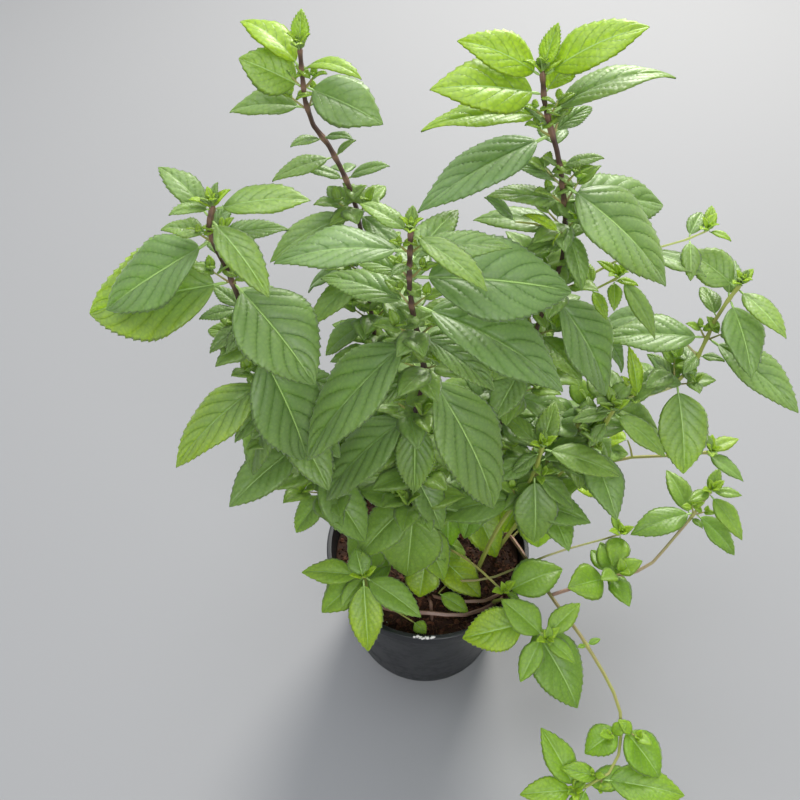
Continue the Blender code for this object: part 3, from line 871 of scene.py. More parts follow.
def vein_group():
    tree, given, result = new_group(
        "mint veins",
        {"Place": None, "Along": 0.0, "Across": 0.0, "Count": SIDE_VEINS, "Sweep": VEIN_SWEEP},
        ["Midrib", "Veins", "Net", "Pillow"])
    edge = given["Across"].abs()
    midrib = (1 - edge * 26).max(0.0)
    vein = given["Count"] * (given["Along"] - given["Sweep"] * edge ** VEIN_CURVE)
    vein = (vein + given["Across"].sign() * VEIN_STAGGER).fract()
    valley = (vein * 2 - 1).abs()
    line = ((valley - 0.87) * 7.7).max(0.0)
    cells = node(tree, "ShaderNodeTexVoronoi", settings={"feature": "DISTANCE_TO_EDGE"},
                 Vector=given["Place"], Scale=420.0)
    plug(tree, midrib, result.inputs["Midrib"])
    plug(tree, line * (1 - edge ** 3), result.inputs["Veins"])
    plug(tree, (1 - cells * 4).max(0.0), result.inputs["Net"])
    plug(tree, (1 - valley ** 3) * (edge * 6).min(1.0), result.inputs["Pillow"])
    return tree


MOTTLE = mottle_group()
VEINS = vein_group()


# %% Helpers for a material
def new_material(name):
    made = bpy.data.materials.new(name)
    made.use_nodes = True
    tree = made.node_tree
    shader = tree.nodes["Principled BSDF"]
    return made, tree, shader


def attribute(tree, name):
    made = tree.nodes.new("ShaderNodeAttribute")
    made.attribute_name = name
    return Sum(tree, made.outputs["Fac"])


def place_of(tree):
    return Sum(tree, tree.nodes.new("ShaderNodeTexCoord").outputs["Object"])


def height_of(tree, place):
    return coordinates(tree, place)[2]


def use_group(tree, group, output=0, **inputs):
    made = tree.nodes.new("ShaderNodeGroup")
    made.node_tree = group
    for key, value in inputs.items():
        plug(tree, value, made.inputs[key])
    if output is None:
        return [Sum(tree, socket) for socket in made.outputs]
    return Sum(tree, made.outputs[output])


def blend(tree, amount, first, second):
    """Mix two colours; each is a colour or another mix."""
    made = tree.nodes.new("ShaderNodeMix")
    made.data_type = "RGBA"
    plug(tree, amount, made.inputs[0])
    for value, slot in ((first, made.inputs[6]), (second, made.inputs[7])):
        plug(tree, (*value, 1.0) if isinstance(value, tuple) else value, slot)
    return Sum(tree, made.outputs[2])


def bumped(tree, shader, height, strength, distance):
    made = tree.nodes.new("ShaderNodeBump")
    made.inputs["Strength"].default_value = strength
    made.inputs["Distance"].default_value = distance
    plug(tree, height, made.inputs["Height"])
    tree.links.new(made.outputs["Normal"], shader.inputs["Normal"])


# %% [markdown]
# ## Leaf and stem finishes
# A leaf is a thin wet solid: it glows yellow-green with light behind it and has a soft grey
# sheen above. A plain surface can't glow, so the Principled shader is mixed with a Translucent
# one. The swellings between side veins get a painted highlight, and the creases along them
# painted shade, paler on low leaves; the midrib is the palest line. Low leaves, in the shade, get
# a painted bright green for light through thin blades, large blades a painted grey sheen of the
# sky, the underside is matt and pale, and old blades turn yellow towards the edge and the tip.

# %% The leaf finish
# Leaves below the first height get a painted green of shade and backlight, and blades longer than
# the second length a painted grey sheen of the sky.
SHADE_TOP = 240 * MM         # leaves below this are in the plant's shade
GREY_SHEEN_FROM = 32 * MM         # blades longer than this turn greyer


def leaf_material():
    made, tree, shader = new_material("mint leaf")
    place = place_of(tree)
    down, across = attribute(tree, "along"), attribute(tree, "across")
    # young is the lime amount: young growth and painted backlight.
    age, young, under = (attribute(tree, name) for name in ("age", "lime_and_backlight", "underside"))
    midrib, veins, net, pillow_highlight = use_group(tree, VEINS, None, Place=place, Along=down,
                                           Across=across)
    uneven = use_group(tree, MOTTLE, Place=place, Size=90.0)
    # low marks the leaves in the plant's shade; it drives their painted shade-and-backlight
    # colours below.
    low = ((SHADE_TOP - height_of(tree, place)) * 7).held()
    large = ((attribute(tree, "length") - GREY_SHEEN_FROM) * 40).held()
    # Painted shade and backlight: low leaves turn a brighter, yellower green, less so on large
    # blades.
    shaded = blend(tree, low * (1 - large * 0.4), (0.135, 0.21, 0.065), (0.19, 0.39, 0.008))
    # Painted sky sheen: large blades, mostly the high ones, turn a cooler grey green.
    shaded = blend(tree, large * (1 - low * 0.5) * 0.6, shaded, (0.12, 0.23, 0.095))
    # Lime green: the colour of young growth, and painted backlight where light shines through.
    fresh = blend(tree, young, shaded, (0.38, 0.56, 0.01))
    patches = (uneven * 1.6 - 0.3).held() * (1 - young.max(low * 0.75)) * 0.6
    tone = blend(tree, patches, fresh, (0.21, 0.29, 0.12))
    rim_age = age * (across.abs() ** 2 * 0.5 + down * 0.6 + uneven - 0.35).max(0.0)
    tone = blend(tree, (rim_age * 1.6).min(1.0), tone, (0.40, 0.55, 0.01))
    tone = blend(tree, net * 0.25, tone, (0.06, 0.15, 0.025))
    # Painted highlight: the swellings between the side veins are paler, except on young and low
    # leaves.
    tone = blend(tree, pillow_highlight * (1 - young.max(low)) * 0.45, tone, (0.31, 0.40, 0.21))
    # Painted shade in the vein creases, dark on high leaves; on low leaves a paler green that
    # stands for light through backlit veins.
    vein_shade_and_glow = blend(tree, low, (0.045, 0.12, 0.025), (0.20, 0.36, 0.06))
    tone = blend(tree, veins * 0.9, tone, vein_shade_and_glow)
    tone = blend(tree, midrib * 0.4, tone, (0.36, 0.50, 0.20))
    tone = blend(tree, under * 0.6, tone, (0.32, 0.46, 0.20))
    plug(tree, tone, shader.inputs["Base Color"])
    plug(tree, uneven * 0.2 + 0.34 + under * 0.2, shader.inputs["Roughness"])
    shader.inputs["Specular IOR Level"].default_value = 0.8
    shader.inputs["Sheen Weight"].default_value = 0.3
    shader.inputs["Sheen Roughness"].default_value = 0.4
    bumped(tree, shader, net * -0.3 - veins + uneven * 0.5, 0.4, 0.3 * MM)
    glow = tree.nodes.new("ShaderNodeBsdfTranslucent")
    light = blend(tree, (rim_age + young * 0.4).min(1.0), (0.52, 0.74, 0.01), (0.76, 0.9, 0.005))
    light = blend(tree, veins * 0.5, light, (0.8, 0.95, 0.25))
    light = blend(tree, net * 0.35, light, (0.28, 0.5, 0.02))
    plug(tree, light, glow.inputs["Color"])
    mixed = tree.nodes.new("ShaderNodeMixShader")
    mixed.inputs[0].default_value = 0.5
    tree.links.new(shader.outputs[0], mixed.inputs[1])
    tree.links.new(glow.outputs[0], mixed.inputs[2])
    tree.links.new(mixed.outputs[0], tree.nodes["Material Output"].inputs["Surface"])
    return made


LEAF = leaf_material()


# %% The stem and stalk finishes
def stalk_material():
    made, tree, shader = new_material("mint stalk")
    uneven = use_group(tree, MOTTLE, Place=place_of(tree), Size=260.0)
    tone = blend(tree, uneven, (0.26, 0.42, 0.09), (0.36, 0.52, 0.16))
    plug(tree, tone, shader.inputs["Base Color"])
    plug(tree, uneven * 0.3 + 0.3, shader.inputs["Roughness"])
    bumped(tree, shader, uneven, 0.2, 0.2 * MM)
    return made


def stem_material():
    """Green where young and plum-brown where the attribute bark is high."""
    made, tree, shader = new_material("mint stem")
    place = place_of(tree)
    bark = attribute(tree, "bark")
    uneven = use_group(tree, MOTTLE, Place=place, Size=170.0)
    streaks = node(tree, "ShaderNodeTexNoise", Vector=place, Scale=420.0, Detail=2.0)
    amount = (bark * 1.3 + uneven * 0.5 - 0.3).held()
    green = blend(tree, uneven, (0.24, 0.30, 0.045), (0.38, 0.40, 0.09))
    plum = blend(tree, streaks, (0.035, 0.018, 0.016), (0.10, 0.05, 0.04))
    tan = blend(tree, uneven, (0.20, 0.12, 0.07), (0.30, 0.16, 0.12))
    tone = blend(tree, (amount * 2).min(1.0), green, tan)
    tone = blend(tree, (amount * 2 - 1).max(0.0), tone, plum)
    plug(tree, tone, shader.inputs["Base Color"])
    plug(tree, streaks * 0.25 + 0.32, shader.inputs["Roughness"])
    bumped(tree, shader, streaks, 0.3, 0.2 * MM)
    return made


STALK = stalk_material()
STEM = stem_material()

# %% [markdown]
# ## Stems
# Mint stems are square with slightly hollow faces, and swell where leaves join. Sweeping a
# rounded four-pointed star along the path gives both, with the radius as an attribute.


# %% The stem tree
def stem_tree():
    tree, given = new_tree("mint stem", [("Finish", "Material")])
    line = node(tree, "GeometryNodeMeshToCurve", Mesh=given["Geometry"])
    star = node(tree, "GeometryNodeCurveStar", Points=4, Inner_Radius=0.62, Outer_Radius=1.05)
    round_star = node(tree, "GeometryNodeFilletCurve", settings={"mode": "POLY"}, Curve=star,
                      Radius=0.22, Count=2)
    solid = node(tree, "GeometryNodeCurveToMesh", Curve=line, Profile_Curve=round_star,
                 Scale=named(tree, "thick"), Fill_Caps=True)
    finish_tree(tree, solid, given["Finish"])
    return tree


STEM_TREE = stem_tree()
JOINT_REACH = 1.8            # millimetres over which a stem swells at a joint


def stem_line(shoot, joints, step=1.6):
    """Points, radii and bark along a stem, with a swelling at each joint, in metres."""
    coarse = smooth_path(shoot["path"])
    length = path_length(coarse)
    steps = max(6, round(length / step))
    points, radii, barks = [], [], []
    for i in range(steps + 1):
        distance = length * i / steps
        point = along(coarse, distance)[0]
        swell = sum(math.exp(-((length - below - distance) / JOINT_REACH) ** 2)
                    for below in joints)
        share = distance / length
        radius = stem_radius(shoot, share) * (0.92 + 0.3 * min(swell, 1.0))
        if i == steps:
            radius *= 0.6
        points.append(point * MM)
        radii.append(radius * MM)
        foot, tip = shoot["bark"]
        barks.append((foot + (tip - foot) * share) * (1 - 0.4 * min(swell, 1.0)))
    return points, radii, barks


def stem_object(name, lines):
    """One mesh object of one or more stems."""
    points, edges, radii, barks = [], [], [], []
    for line, thick, bark in lines:
        first = len(points)
        points += line
        radii += thick
        barks += bark
        edges += [(i, i + 1) for i in range(first, len(points) - 1)]
    start = bpy.data.meshes.new(name + " line")
    start.from_pydata(points, edges, [])
    for key, numbers in (("thick", radii), ("bark", barks)):
        start.attributes.new(key, "FLOAT", "POINT").data.foreach_set("value", numbers)
    return grown(name, STEM_TREE, start, {"Finish": STEM})


# %% [markdown]
# ## Growing the shoots
# The plant is grown in two passes. This one makes each stem and its large pairs, and each
# replaces its own solid. The next one adds what has no solid, and needs the large blades to be
# there already, so that it can keep clear of them.


# %% Grow every shoot
def pair_leaves(path, below, shapes, draw):
    """The leaves of one joint, starting inside the stem."""
    length = path_length(path)
    centre, axis = along(path, length - below)
    young = max(0.0, 1 - below / 30) ** 1.5 * 0.25
    return [grown_leaf(shape, centre + spoke_towards(axis, shape) * 0.6, draw,
                       young + draw.uniform(0.0, 0.15))
            for shape in shapes]


# Pairs along a side shoot: share of its length, leaf size, rise and quarter turn.
SIDE_PAIRS = ((0.35, 1.0, 10, 90), (0.7, 0.8, 30, 0), (1.0, 0.45, 55, 90))


YOUNG_REACH = 60             # millimetres below the tip where side shoots are still young
SIDE_LEAF_LEAST, SIDE_LEAF_MOST = 6.0, 26.0
SIDE_LEAF_GAIN = 0.17        # length gained for each millimetre below the tip


def side_shoot(path, below, shape, draw):
    """A short branch from a leaf's joint: its line and two or three pairs of leaves."""
    centre, axis = along(path, path_length(path) - below)
    spoke = spoke_towards(axis, shape)
    size = min(SIDE_LEAF_MOST, SIDE_LEAF_LEAST + below * SIDE_LEAF_GAIN)
    size *= draw.uniform(0.8, 1.2)
    fresh = max(0.0, 1 - below / YOUNG_REACH)
    reach = (spoke + axis * 0.9 + Vector((0, 0, 0.4))).normalized() * size * 0.6
    root = centre + spoke * 1.2
    line = {"path": [root, root + reach * 0.5, root + reach], "radius": (0.7, 0.45),
            "bark": (0.25, 0.1)}
    leaves = []
    for share, part, rise, turn in SIDE_PAIRS[0 if below > YOUNG_REACH else 1:]:
        for half_turn in (0, 180):
            azimuth = shape["azimuth"] + turn + half_turn + draw.uniform(-15, 15)
            small = leaf(azimuth, rise + draw.uniform(-12, 12), size * part, wide=0.6,
                         droop=30, age=0.1, lime_and_backlight=1 - part * (1 - fresh) * draw.uniform(0.5, 1))
            leaves.append(grown_leaf(small, root + reach * share, draw, 0))
    return stem_line(line, [], 1.2), leaves


def tip_bud(path, draw):
    """The growing point: three tiny upright pairs, each a quarter turn from the last."""
    end, axis = along(path, path_length(path))
    leaves = []
    start = draw.uniform(0, 90)
    for level in range(3):
        for half_turn in (0, 180):
            tiny = leaf(start + 90 * level + half_turn, 40 + 16 * level, 10 - 2.6 * level,
                        wide=0.5, droop=35, age=0.15, lime_and_backlight=1.0)
            leaves.append(grown_leaf(tiny, end + axis * (level - 1.5), draw, 1))
    return leaves


INNER_SPACING = 24           # millimetres between the joints of the shaded pairs
DEGREES_DOWN = 90 / INNER_SPACING    # for each millimetre, so that each pair is a quarter turn on
INNER_LENGTH = 40            # of a shaded leaf, in millimetres


def inner_joints(shoot):
    """How far below the tip each shaded pair stands."""
    return range(*shoot.get("inner", (0, 0)), INNER_SPACING)


def inner_pairs(shoot, draw):
    """Shaded pairs lower on a stem, each a quarter turn from the last."""
    length = shoot.get("inner_length", INNER_LENGTH)
    return [(below, *(
        leaf(below * DEGREES_DOWN + half_turn + draw.uniform(-20, 20), draw.uniform(-45, -5),
             length * draw.uniform(shortest, longest), wide=0.52, lime_and_backlight=draw.uniform(0, 0.4))
        for half_turn, shortest, longest in ((0, 0.8, 1.25), (180, 0.7, 1.15))))
        for below in inner_joints(shoot)]


def grow_large(name, shoot):
    """The stem and its large pairs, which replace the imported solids."""
    draw = random.Random("mint " + name)
    path = smooth_path(shoot["path"])
    joints = [pair[0] for pair in shoot["pairs"] + shoot["small"]]
    joints += inner_joints(shoot)
    stem = stem_object("mint_stem_" + name, [stem_line(shoot, joints)])
    if name in SHOOTS:
        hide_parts("stem_" + name)
    faces = add_piece(stem)
    for number, (below, first, second) in enumerate(shoot["pairs"], start=1):
        pair = pair_leaves(path, below, (first, second), draw)
        piece = leaves_mesh(f"mint_leaves_{name}_{number}", pair, LARGE_LEAF)
        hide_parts(f"leaves_{name}_{number}")
        faces += add_piece(piece)
        large_pieces.append(piece.data)
    print(name, faces, "faces in the stem and large pairs")


large_pieces = []
for shoot_name, shoot_plan in (SHOOTS | EXTRAS).items():
    grow_large(shoot_name, shoot_plan)


# %% [markdown]
# ## Small leaves, with the side shoots' and shaded ones kept clear of the large blades
# Every leaf joint of a mint carries a side shoot, and the tip ends in a bud. Grown by the rule
# alone, some side-shoot and shaded leaves would stand through a large blade, which a real leaf
# slides past. A ray along each of these finds them, and they are left out; the listed small pairs
# and the tip's bud are not tested. That is quicker and steadier than a simulation, and gives the
# same plant each run.

# %% Grow the small leaves
def surface_of(meshes):
    """One search tree over several meshes."""
    corners, faces = [], []
    for mesh in meshes:
        first = len(corners)
        corners += [vert.co for vert in mesh.vertices]
        faces += [[first + i for i in face.vertices] for face in mesh.polygons]
    return BVHTree.FromPolygons(corners, faces)


large_blades = surface_of(large_pieces)


def is_clear(item):
    """False where a leaf, taken as three lines along it, would pass through a large blade.

    The lines start a little way out, because stalks meet at a joint.
    """
    start = item["base"] + item["forward"] * item["length"] * 0.2
    for share in (-0.6, 0.0, 0.6):
        side = item["left"] * item["half_width"] * share
        if large_blades.ray_cast(start + side, item["forward"], item["length"] * 0.8)[0]:
            return False
    return True


def grow_small(name, shoot):
    """Everything on a shoot that has no solid: small pairs, side shoots and the tip's bud."""
    draw = random.Random("small mint " + name)
    path = smooth_path(shoot["path"])
    shaded = inner_pairs(shoot, draw)
    buds = [] if name.startswith("stolon") else tip_bud(path, draw)
    small, hidden, twigs = [], [], []
    for below, first, second in shoot["pairs"] + shaded:
        if below > 10:
            for shape in (first, second):
                twig, leaves = side_shoot(path, below, shape, draw)
                twigs.append(twig)
                buds += [item for item in leaves if is_clear(item)]
    for below, first, second in shoot["small"]:
        small += pair_leaves(path, below, (first, second), draw)
    for below, first, second in shaded:
        hidden += pair_leaves(path, below, (first, second), draw)
    for below, shape in shoot.get("behind", []):
        hidden += pair_leaves(path, below, (shape,), draw)
    small += [item for item in hidden if is_clear(item)]
    faces = 0
    for kind, leaves, detail in (("small_leaves_", small, SMALL_LEAF),
                                 ("bud_leaves_", buds, BUD_LEAF)):
        if leaves:
            faces += add_piece(leaves_mesh(kind + name, leaves, detail))
    if twigs:
        faces += add_piece(stem_object("side_shoots_" + name, twigs))
    print(name, faces, "faces in small leaves and side shoots")


for shoot_name, shoot_plan in (SHOOTS | EXTRAS).items():
    grow_small(shoot_name, shoot_plan)


# %% [markdown]
# ## Leaves inside the plant
# Between the shoots the plant is full of older leaves on thin twigs. A rule would put them
# anywhere, so their places are listed in the plan, and each twig is a curve that leaves the
# nearest stem below its leaf.

# %% Leaves on twigs
def nearest_stem_point(spot):
    """The closest point of any stem, with points above the spot counted as far away."""
    best = None
    for shoot in SHOOTS.values():
        for point in smooth_path(shoot["path"])[1:-1]:
            gap = (point - spot).length + max(0.0, point.z - spot.z + 6) * 3
            if best is None or gap < best[0]:
                best = (gap, point)
    return best[1]


def inner_leaves():
    draw = random.Random("inner mint")
    twigs, leaves = [], []
    for place, shape in INNER_LEAVES:
        spot = Vector(place)
        leaves.append(grown_leaf(shape, spot, draw, 0))
        root = nearest_stem_point(spot)
        middle = root.lerp(spot, 0.55) + Vector((0, 0, (spot - root).length * 0.08))
        if (spot - root).length > 4:
            twig = {"path": [root, middle, spot], "radius": (0.85, 0.55), "bark": (0.2, 0.08)}
            twigs.append(stem_line(twig, []))
    for name, piece, slot in (
            ("inner_leaves", leaves_mesh("inner_leaves", leaves, SMALL_LEAF), "leaf"),
            ("inner_twigs", stem_object("inner_twigs", twigs), "stem")):
        print(name, add_piece(piece), "faces")


inner_leaves()

# %% [markdown]
# ## The pot
# The nursery pot is moulded in one thin wall of black polypropylene, with a rolled rim. It is a
# turned shape, so a profile with a Screw modifier makes it, with far more steps than the solid.
# A raised channel runs round its base, and round holes through the channel let water out. A
# Boolean cuts them, because holes don't follow the turning.

# %% The pot's finish
def plastic_material():
    """Satin black plastic: faint scuffs, watermarks and dust that gathers low down."""
    made, tree, shader = new_material("black nursery pot")
    place = place_of(tree)
    uneven = use_group(tree, MOTTLE, Place=place, Size=60.0)
    grain = node(tree, "ShaderNodeTexNoise", Vector=place, Scale=1800.0, Detail=2.0)
    dust = (uneven * 2.2 - 1.05).max(0.0) * (1.2 - height_of(tree, place) * 9).max(0.15)
    dust = dust.min(0.5)
    tone = blend(tree, uneven, (0.003, 0.004, 0.005), (0.007, 0.008, 0.011))
    tone = blend(tree, dust, tone, (0.028, 0.028, 0.028))
    plug(tree, tone, shader.inputs["Base Color"])
    plug(tree, uneven * 0.3 + 0.25 + dust * 0.4, shader.inputs["Roughness"])
    bumped(tree, shader, grain + uneven * 2, 0.25, 0.15 * MM)
    return made


# %% Turn the pot
BASE_RADIUS = 47.0 * MM
WALL = 1.4 * MM
RIM_BAND = 7.0 * MM          # height of the rolled band
RIM_STEP = 1.6 * MM          # how far the band stands out from the wall
LIP = 0.9 * MM               # half the rim's flat top
CHANNEL = (32 * MM, 42 * MM)     # inner and outer radius of the raised drain channel
CHANNEL_HEIGHT = 4.0 * MM
CHANNEL_SLOPE = 1 * MM
HOLES = 8
HOLE_RING = 37 * MM
HOLE_RADIUS = 3.5 * MM


def turned(name, profile, steps, finish):
    """Turn a profile of (radius, height) points round Z and keep the plain mesh."""
    start = bpy.data.meshes.new(name)
    start.from_pydata([(r, 0, z) for r, z in profile],
                      [(i, i + 1) for i in range(len(profile) - 1)], [])
    start.materials.append(finish)
    obj = linked(name, start)
    screw = obj.modifiers.new("turn", "SCREW")
    screw.steps = screw.render_steps = steps
    screw.use_merge_vertices = True
    screw.merge_threshold = 0.001 * MM
    solid = settled(obj)
    obj.modifiers.clear()
    obj.data = solid
    solid.shade_smooth()
    return obj


def wall_radius(z):
    """The outside of the pot's wall at a height."""
    return BASE_RADIUS + (RIM_RADIUS - RIM_STEP - BASE_RADIUS) * z / POT_HEIGHT


def rounded(corner, before, after, size, steps=4):
    """Points that round a profile's corner."""
    corner, before, after = Vector(corner), Vector(before), Vector(after)
    start = corner + (before - corner).normalized() * size
    end = corner + (after - corner).normalized() * size
    points = []
    for i in range(steps + 1):
        t = i / steps
        points.append(tuple(start * (1 - t) ** 2 + corner * 2 * t * (1 - t) + end * t ** 2))
    return points


def pot_profile():
    """The wall's outline: corners as radius, height and the size of their rounding."""
    band, high = POT_HEIGHT - RIM_BAND, CHANNEL_HEIGHT
    inner, outer = CHANNEL
    inner_top, outer_top = inner + CHANNEL_SLOPE, outer - CHANNEL_SLOPE
    sharp = [
        (RIM_RADIUS - LIP, POT_HEIGHT, 0.0), (RIM_RADIUS, POT_HEIGHT, 0.8),
        (RIM_RADIUS, band, 0.7), (wall_radius(band), band - RIM_STEP, 0.9),
        (wall_radius(0.0), 0.0, 1.2), (outer, 0.0, 0.6), (outer_top, high, 0.6),
        (inner_top, high, 0.6), (inner, 0.0, 0.6), (0.0, 0.0, 0.0), (0.0, WALL, 0.0),
        (inner - WALL, WALL, 0.4), (inner_top - WALL, high + WALL, 0.4),
        (outer_top + WALL, high + WALL, 0.4), (outer + WALL, WALL, 0.4),
        (wall_radius(WALL) - WALL, WALL, 0.5), (wall_radius(band) - WALL, band, 0.5),
        (RIM_RADIUS - RIM_STEP - WALL, POT_HEIGHT, 0.7), (RIM_RADIUS - LIP, POT_HEIGHT, 0.0),
    ]
    profile = []
    for i, (r, z, size) in enumerate(sharp):
        if size:
            profile += rounded((r, z), sharp[i - 1][:2], sharp[i + 1][:2], size * MM)
        else:
            profile.append((r, z))
    return profile


def drain_holes(body):
    """Cut round holes through the raised channel under the pot."""
    pins = bmesh.new()
    for i in range(HOLES):
        angle = i * 2 * math.pi / HOLES
        place = Matrix.Translation((HOLE_RING * math.cos(angle), HOLE_RING * math.sin(angle),
                                    CHANNEL_HEIGHT + 1 * MM))
        bmesh.ops.create_cone(pins, cap_ends=True, segments=32, radius1=HOLE_RADIUS,
                              radius2=HOLE_RADIUS, depth=6 * MM, matrix=place)
    cutter = linked("drain pins", mesh_of(pins, "drain pins"))
    cut = body.modifiers.new("drain holes", "BOOLEAN")
    cut.operation = "DIFFERENCE"
    cut.object = cutter
    solid = settled(body)
    body.modifiers.clear()
    body.data = solid
    bpy.data.objects.remove(cutter, do_unlink=True)
    solid.set_sharp_from_angle(angle=math.radians(50))


pot = turned("nursery_pot", pot_profile(), 144, plastic_material())
drain_holes(pot)
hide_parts("pot")
print("pot", add_piece(pot), "faces")

# %% [markdown]
# ## The potting mix
# The mix is damp coir and fine bark: red-brown crumbs, chips, short fibres and a few pale
# grains. A noise-lifted surface alone looks like mud, so four kinds of loose piece are scattered
# on it with fixed seeds. Each has few faces, because there are thousands.


# %% The mix's finishes
def mix_material(name, dark, light, rough):
    made, tree, shader = new_material(name)
    place = place_of(tree)
    uneven = use_group(tree, MOTTLE, Place=place, Size=300.0)
    grain = node(tree, "ShaderNodeTexNoise", Vector=place, Scale=1500.0, Detail=4.0)
    tone = blend(tree, (uneven * 1.8 - 0.4).held(), dark, light)
    plug(tree, tone, shader.inputs["Base Color"])
    plug(tree, uneven * 0.2 + rough, shader.inputs["Roughness"])
    shader.inputs["Specular IOR Level"].default_value = 0.25
    bumped(tree, shader, grain + uneven, 0.6, 0.5 * MM)
    return made


COIR = mix_material("damp coir", (0.006, 0.002, 0.001), (0.045, 0.016, 0.007), 0.75)
BARK_CHIP = mix_material("bark chips", (0.02, 0.007, 0.003), (0.12, 0.042, 0.018), 0.6)
FIBRE = mix_material("coir fibre", (0.06, 0.025, 0.012), (0.20, 0.10, 0.05), 0.65)
PERLITE = mix_material("perlite", (0.45, 0.43, 0.40), (0.75, 0.73, 0.70), 0.8)

# %% The body of the mix
SOIL_EDGE = (soil_high.x - soil_low.x) / 2
SOIL_TOP = 87.0 * MM
SOIL_RINGS = 44              # rings across its top, close enough for the lumps to show
SOIL_GAP = 0.3 * MM          # between the mix and the pot's wall


def soil_body():
    """A plug of mix with a flat base over the drain channel and a lumpy top."""
    rings = [(SOIL_EDGE * i / SOIL_RINGS, SOIL_TOP) for i in range(SOIL_RINGS + 1)]
    low, base = soil_low.z, soil_low.z + 7 * MM
    body = turned("potting_mix", rings + [(wall_radius(low) - WALL - SOIL_GAP, base),
                                          (0.0, base)], 150, COIR)
    for vert in body.data.vertices:
        if vert.co.z > SOIL_TOP - 1 * MM:
            inward = max(0.0, 1 - (vert.co.xy.length / SOIL_EDGE) ** 12)
            flat = Vector((vert.co.x, vert.co.y, 0))
            lump = noise.noise(flat / (14 * MM)) * 2.0 + noise.noise(flat / (4 * MM)) * 1.1
            lump += noise.noise(flat / (1.6 * MM)) * 0.6
            vert.co.z += inward * lump * MM
    return body


# %% [markdown]
# ## Loose pieces on the mix
# One crumb, one chip, one fibre and one pale grain are made here, and a tree scatters turned and
# sized copies of each over the top. A bump map can't do this: seen from the side, crumbs stand
# up and throw shadows. The same crumb rule makes the white grains that lie on the rim.

# %% One of each kind
def crumb_seed(name, size, squash, finish, seed):
    """A small rough lump of 20 faces."""
    bm = bmesh.new()
    bmesh.ops.create_icosphere(bm, subdivisions=1, radius=1.0)
    draw = random.Random(seed)
    for vert in bm.verts:
        vert.co *= draw.uniform(0.7, 1.25)
        vert.co = Vector((vert.co.x * size, vert.co.y * size * 0.7, vert.co.z * size * squash))
    return mesh_of(bm, name, finish)


FIBRE_RADIUS = 0.17 * MM


def fibre_seed(name, length, finish, seed):
    """A bent hair of mix, three-sided and closed."""
    bm = bmesh.new()
    rings = []
    bend = random.Random(seed).uniform(0.3, 0.8)
    for i in range(7):
        t = i / 6
        centre = Vector(((t - 0.5) * length, math.sin(t * math.pi) * length * bend * 0.4,
                         math.sin(t * 5 + seed) * length * 0.06))
        thick = FIBRE_RADIUS * (1 - 0.6 * abs(2 * t - 1))
        rings.append([bm.verts.new(centre + Vector((0, math.cos(a) * thick,
                                                    math.sin(a) * thick)))
                      for a in (0, 2.1, 4.2)])
    for a, b in zip(rings, rings[1:]):
        for j in range(3):
            bm.faces.new((a[j], a[(j + 1) % 3], b[(j + 1) % 3], b[j]))
    bm.faces.new(reversed(rings[0]))
    bm.faces.new(rings[-1])
    bmesh.ops.recalc_face_normals(bm, faces=bm.faces)
    return mesh_of(bm, name, finish)


# %% The scatter tree
def scatter_tree():
    tree, given = new_tree("scatter on mix", [
        ("Piece", "Object"), ("Density", "Float"), ("Seed", "Int"), ("Smallest", "Float"),
        ("Largest", "Float"), ("Tilt", "Float"), ("Top", "Float"), ("Reach", "Float"),
        ("Finish", "Material")])
    x, y, z = coordinates(tree, node(tree, "GeometryNodeInputPosition"))
    on_top = z.math("GREATER_THAN", given["Top"])
    inside = (x * x + y * y).math("LESS_THAN", given["Reach"] * given["Reach"])
    spots = node(tree, "GeometryNodeDistributePointsOnFaces", Mesh=given["Geometry"],
                 Selection=on_top * inside, Density=given["Density"], Seed=given["Seed"])
    spin = tree.nodes.new("FunctionNodeRandomValue")
    spin.data_type = "FLOAT_VECTOR"
    spin.inputs[0].default_value = (-1.0, -1.0, -3.14)
    spin.inputs[1].default_value = (1.0, 1.0, 3.14)
    size = tree.nodes.new("FunctionNodeRandomValue")
    plug(tree, given["Smallest"], size.inputs[2])
    plug(tree, given["Largest"], size.inputs[3])
    shape = node(tree, "GeometryNodeObjectInfo", output="Geometry", Object=given["Piece"])
    copies = node(tree, "GeometryNodeInstanceOnPoints", Points=spots, Instance=shape,
                  Rotation=Sum(tree, spin.outputs[0]), Scale=Sum(tree, size.outputs[1]))
    real = node(tree, "GeometryNodeRealizeInstances", Geometry=copies)
    finish_tree(tree, real, given["Finish"])
    return tree


SCATTER = scatter_tree()


def scatter(body, name, shape, density, seed, sizes, finish):
    """Lay copies of a shape on the mix: its density is in pieces to a square metre."""
    piece = bpy.data.objects.new(name + " piece", shape)
    made = grown(name, SCATTER, body.data.copy(), {
        "Piece": piece, "Density": density, "Seed": seed, "Smallest": sizes[0],
        "Largest": sizes[1], "Top": SOIL_TOP - 4 * MM, "Reach": SOIL_EDGE - 1.5 * MM,
        "Finish": finish})
    bpy.data.objects.remove(piece, do_unlink=True)
    made.data.shade_flat()
    print(name, add_piece(made), "faces")


# %% Lay the mix
soil = soil_body()
CRUMB = crumb_seed("crumb", 0.9 * MM, 0.7, COIR, 1)
CHIP = crumb_seed("chip", 1.9 * MM, 0.35, BARK_CHIP, 2)
HAIR = fibre_seed("fibre", 9 * MM, FIBRE, 4)
GRAIN = crumb_seed("grain", 1.0 * MM, 0.8, PERLITE, 6)
scatter(soil, "coir_crumbs", CRUMB, 260000.0, 3, (0.5, 1.5), COIR)
scatter(soil, "bark_chips", CHIP, 65000.0, 5, (0.5, 1.3), BARK_CHIP)
scatter(soil, "coir_fibres", HAIR, 38000.0, 7, (0.5, 1.4), FIBRE)
scatter(soil, "perlite_grains", GRAIN, 1500.0, 9, (0.5, 1.1), PERLITE)


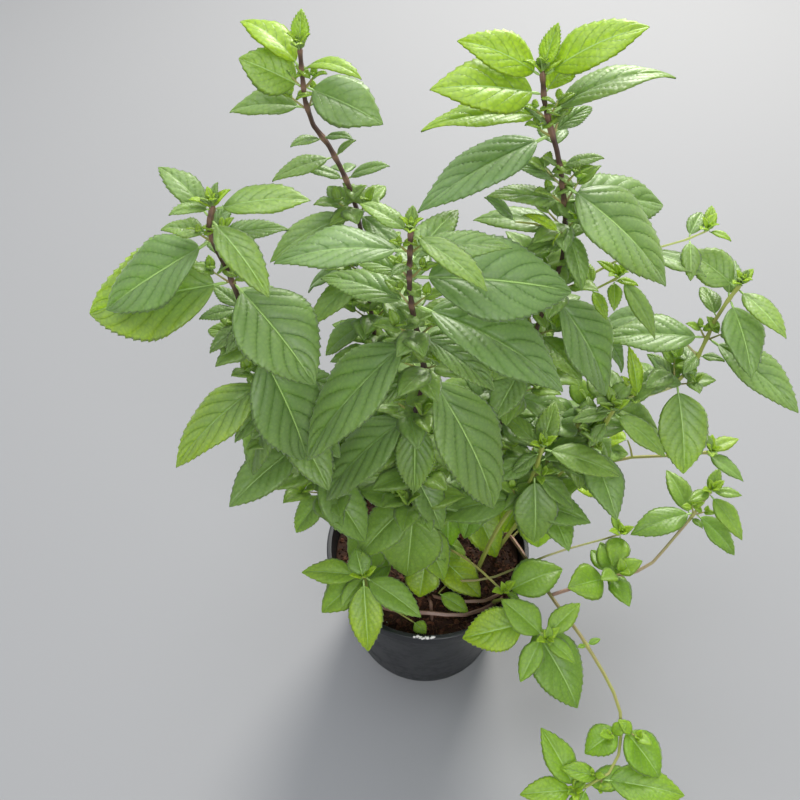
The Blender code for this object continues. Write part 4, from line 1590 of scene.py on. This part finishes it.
def rim_grains(count, middle, spread):
    """A few white grains on the pot's rim, in one object, about an angle in degrees."""
    draw = random.Random(11)
    together = bmesh.new()
    for i in range(count):
        shape = crumb_seed("rim grain", draw.uniform(0.7, 1.3) * MM, 0.8, PERLITE, 20 + i)
        angle = math.radians(middle + draw.gauss(0, spread))
        ring = RIM_RADIUS - draw.uniform(0.4, 1.6) * MM
        shape.transform(Matrix.Translation((ring * math.cos(angle), ring * math.sin(angle),
                                            POT_HEIGHT + 0.4 * MM)))
        together.from_mesh(shape)
        bpy.data.meshes.remove(shape)
    add_piece(linked("rim_grains", mesh_of(together, "rim_grains", PERLITE)))


rim_grains(16, -93, 2.5)
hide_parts("soil")
print("mix", add_piece(soil), "faces")

# %% [markdown]
# ## Floor, light and camera
# A pale plain floor and large soft lights. The main light hangs behind and above the plant, so
# that the top leaves glow, and a broad one in front keeps the near leaves readable.


# %% Stage
FLOOR_SIZE = 6               # metres
LENS, SENSOR = 38.6, 36.0    # millimetres
CAMERA_PLACE = (-0.017, -0.268, 0.563)
CAMERA_DOWN = 50.4           # degrees below level
SKY_COLOUR, SKY_STRENGTH = (0.85, 0.92, 1.0, 1), 0.45

# Each lamp: its name, place, the point it faces, its size, power and colour.
LAMPS = (
    ("low sun", (0.45, 1.35, 1.15), (0, 0, 0.25), 0.7, 48, (1.0, 0.98, 0.92)),
    ("sky", (-0.3, 0.25, 1.9), (0, 0, 0.2), 1.5, 28, (0.94, 0.97, 1.0)),
    ("front", (0.3, -1.3, 1.2), (0, 0, 0.15), 1.2, 20, (0.97, 0.98, 1.0)),
)


def floor():
    bpy.ops.mesh.primitive_plane_add(size=FLOOR_SIZE)
    ground = bpy.context.object
    ground.name = "floor"
    made, _, shader = new_material("pale floor")
    shader.inputs["Base Color"].default_value = (0.22, 0.22, 0.225, 1)
    shader.inputs["Roughness"].default_value = 0.9
    ground.data.materials.append(made)


def lamp(name, place, target, size, power, colour):
    light = bpy.data.lights.new(name, "AREA")
    light.shape = "DISK"
    light.size = size
    light.energy = power
    light.color = colour
    obj = linked(name, light)
    obj.location = place
    direction = Vector(target) - Vector(place)
    obj.rotation_euler = direction.to_track_quat("-Z", "Y").to_euler()


def camera():
    """The view: steeply down, looking along +Y from above the pot's near side."""
    data = bpy.data.cameras.new("camera")
    data.lens, data.sensor_width = LENS, SENSOR
    obj = linked("camera", data)
    obj.location = CAMERA_PLACE
    obj.rotation_euler = (math.radians(90 - CAMERA_DOWN), 0, 0)
    bpy.context.scene.camera = obj


floor()
for row in LAMPS:
    lamp(*row)
world = bpy.data.worlds.new("soft room")
world.use_nodes = True
background = world.node_tree.nodes["Background"]
background.inputs["Color"].default_value = SKY_COLOUR
background.inputs["Strength"].default_value = SKY_STRENGTH
bpy.context.scene.world = world
bpy.context.scene.view_settings.view_transform = "Standard"
camera()
print(len(LAMPS), "lamps, camera", CAMERA_DOWN, "degrees down")
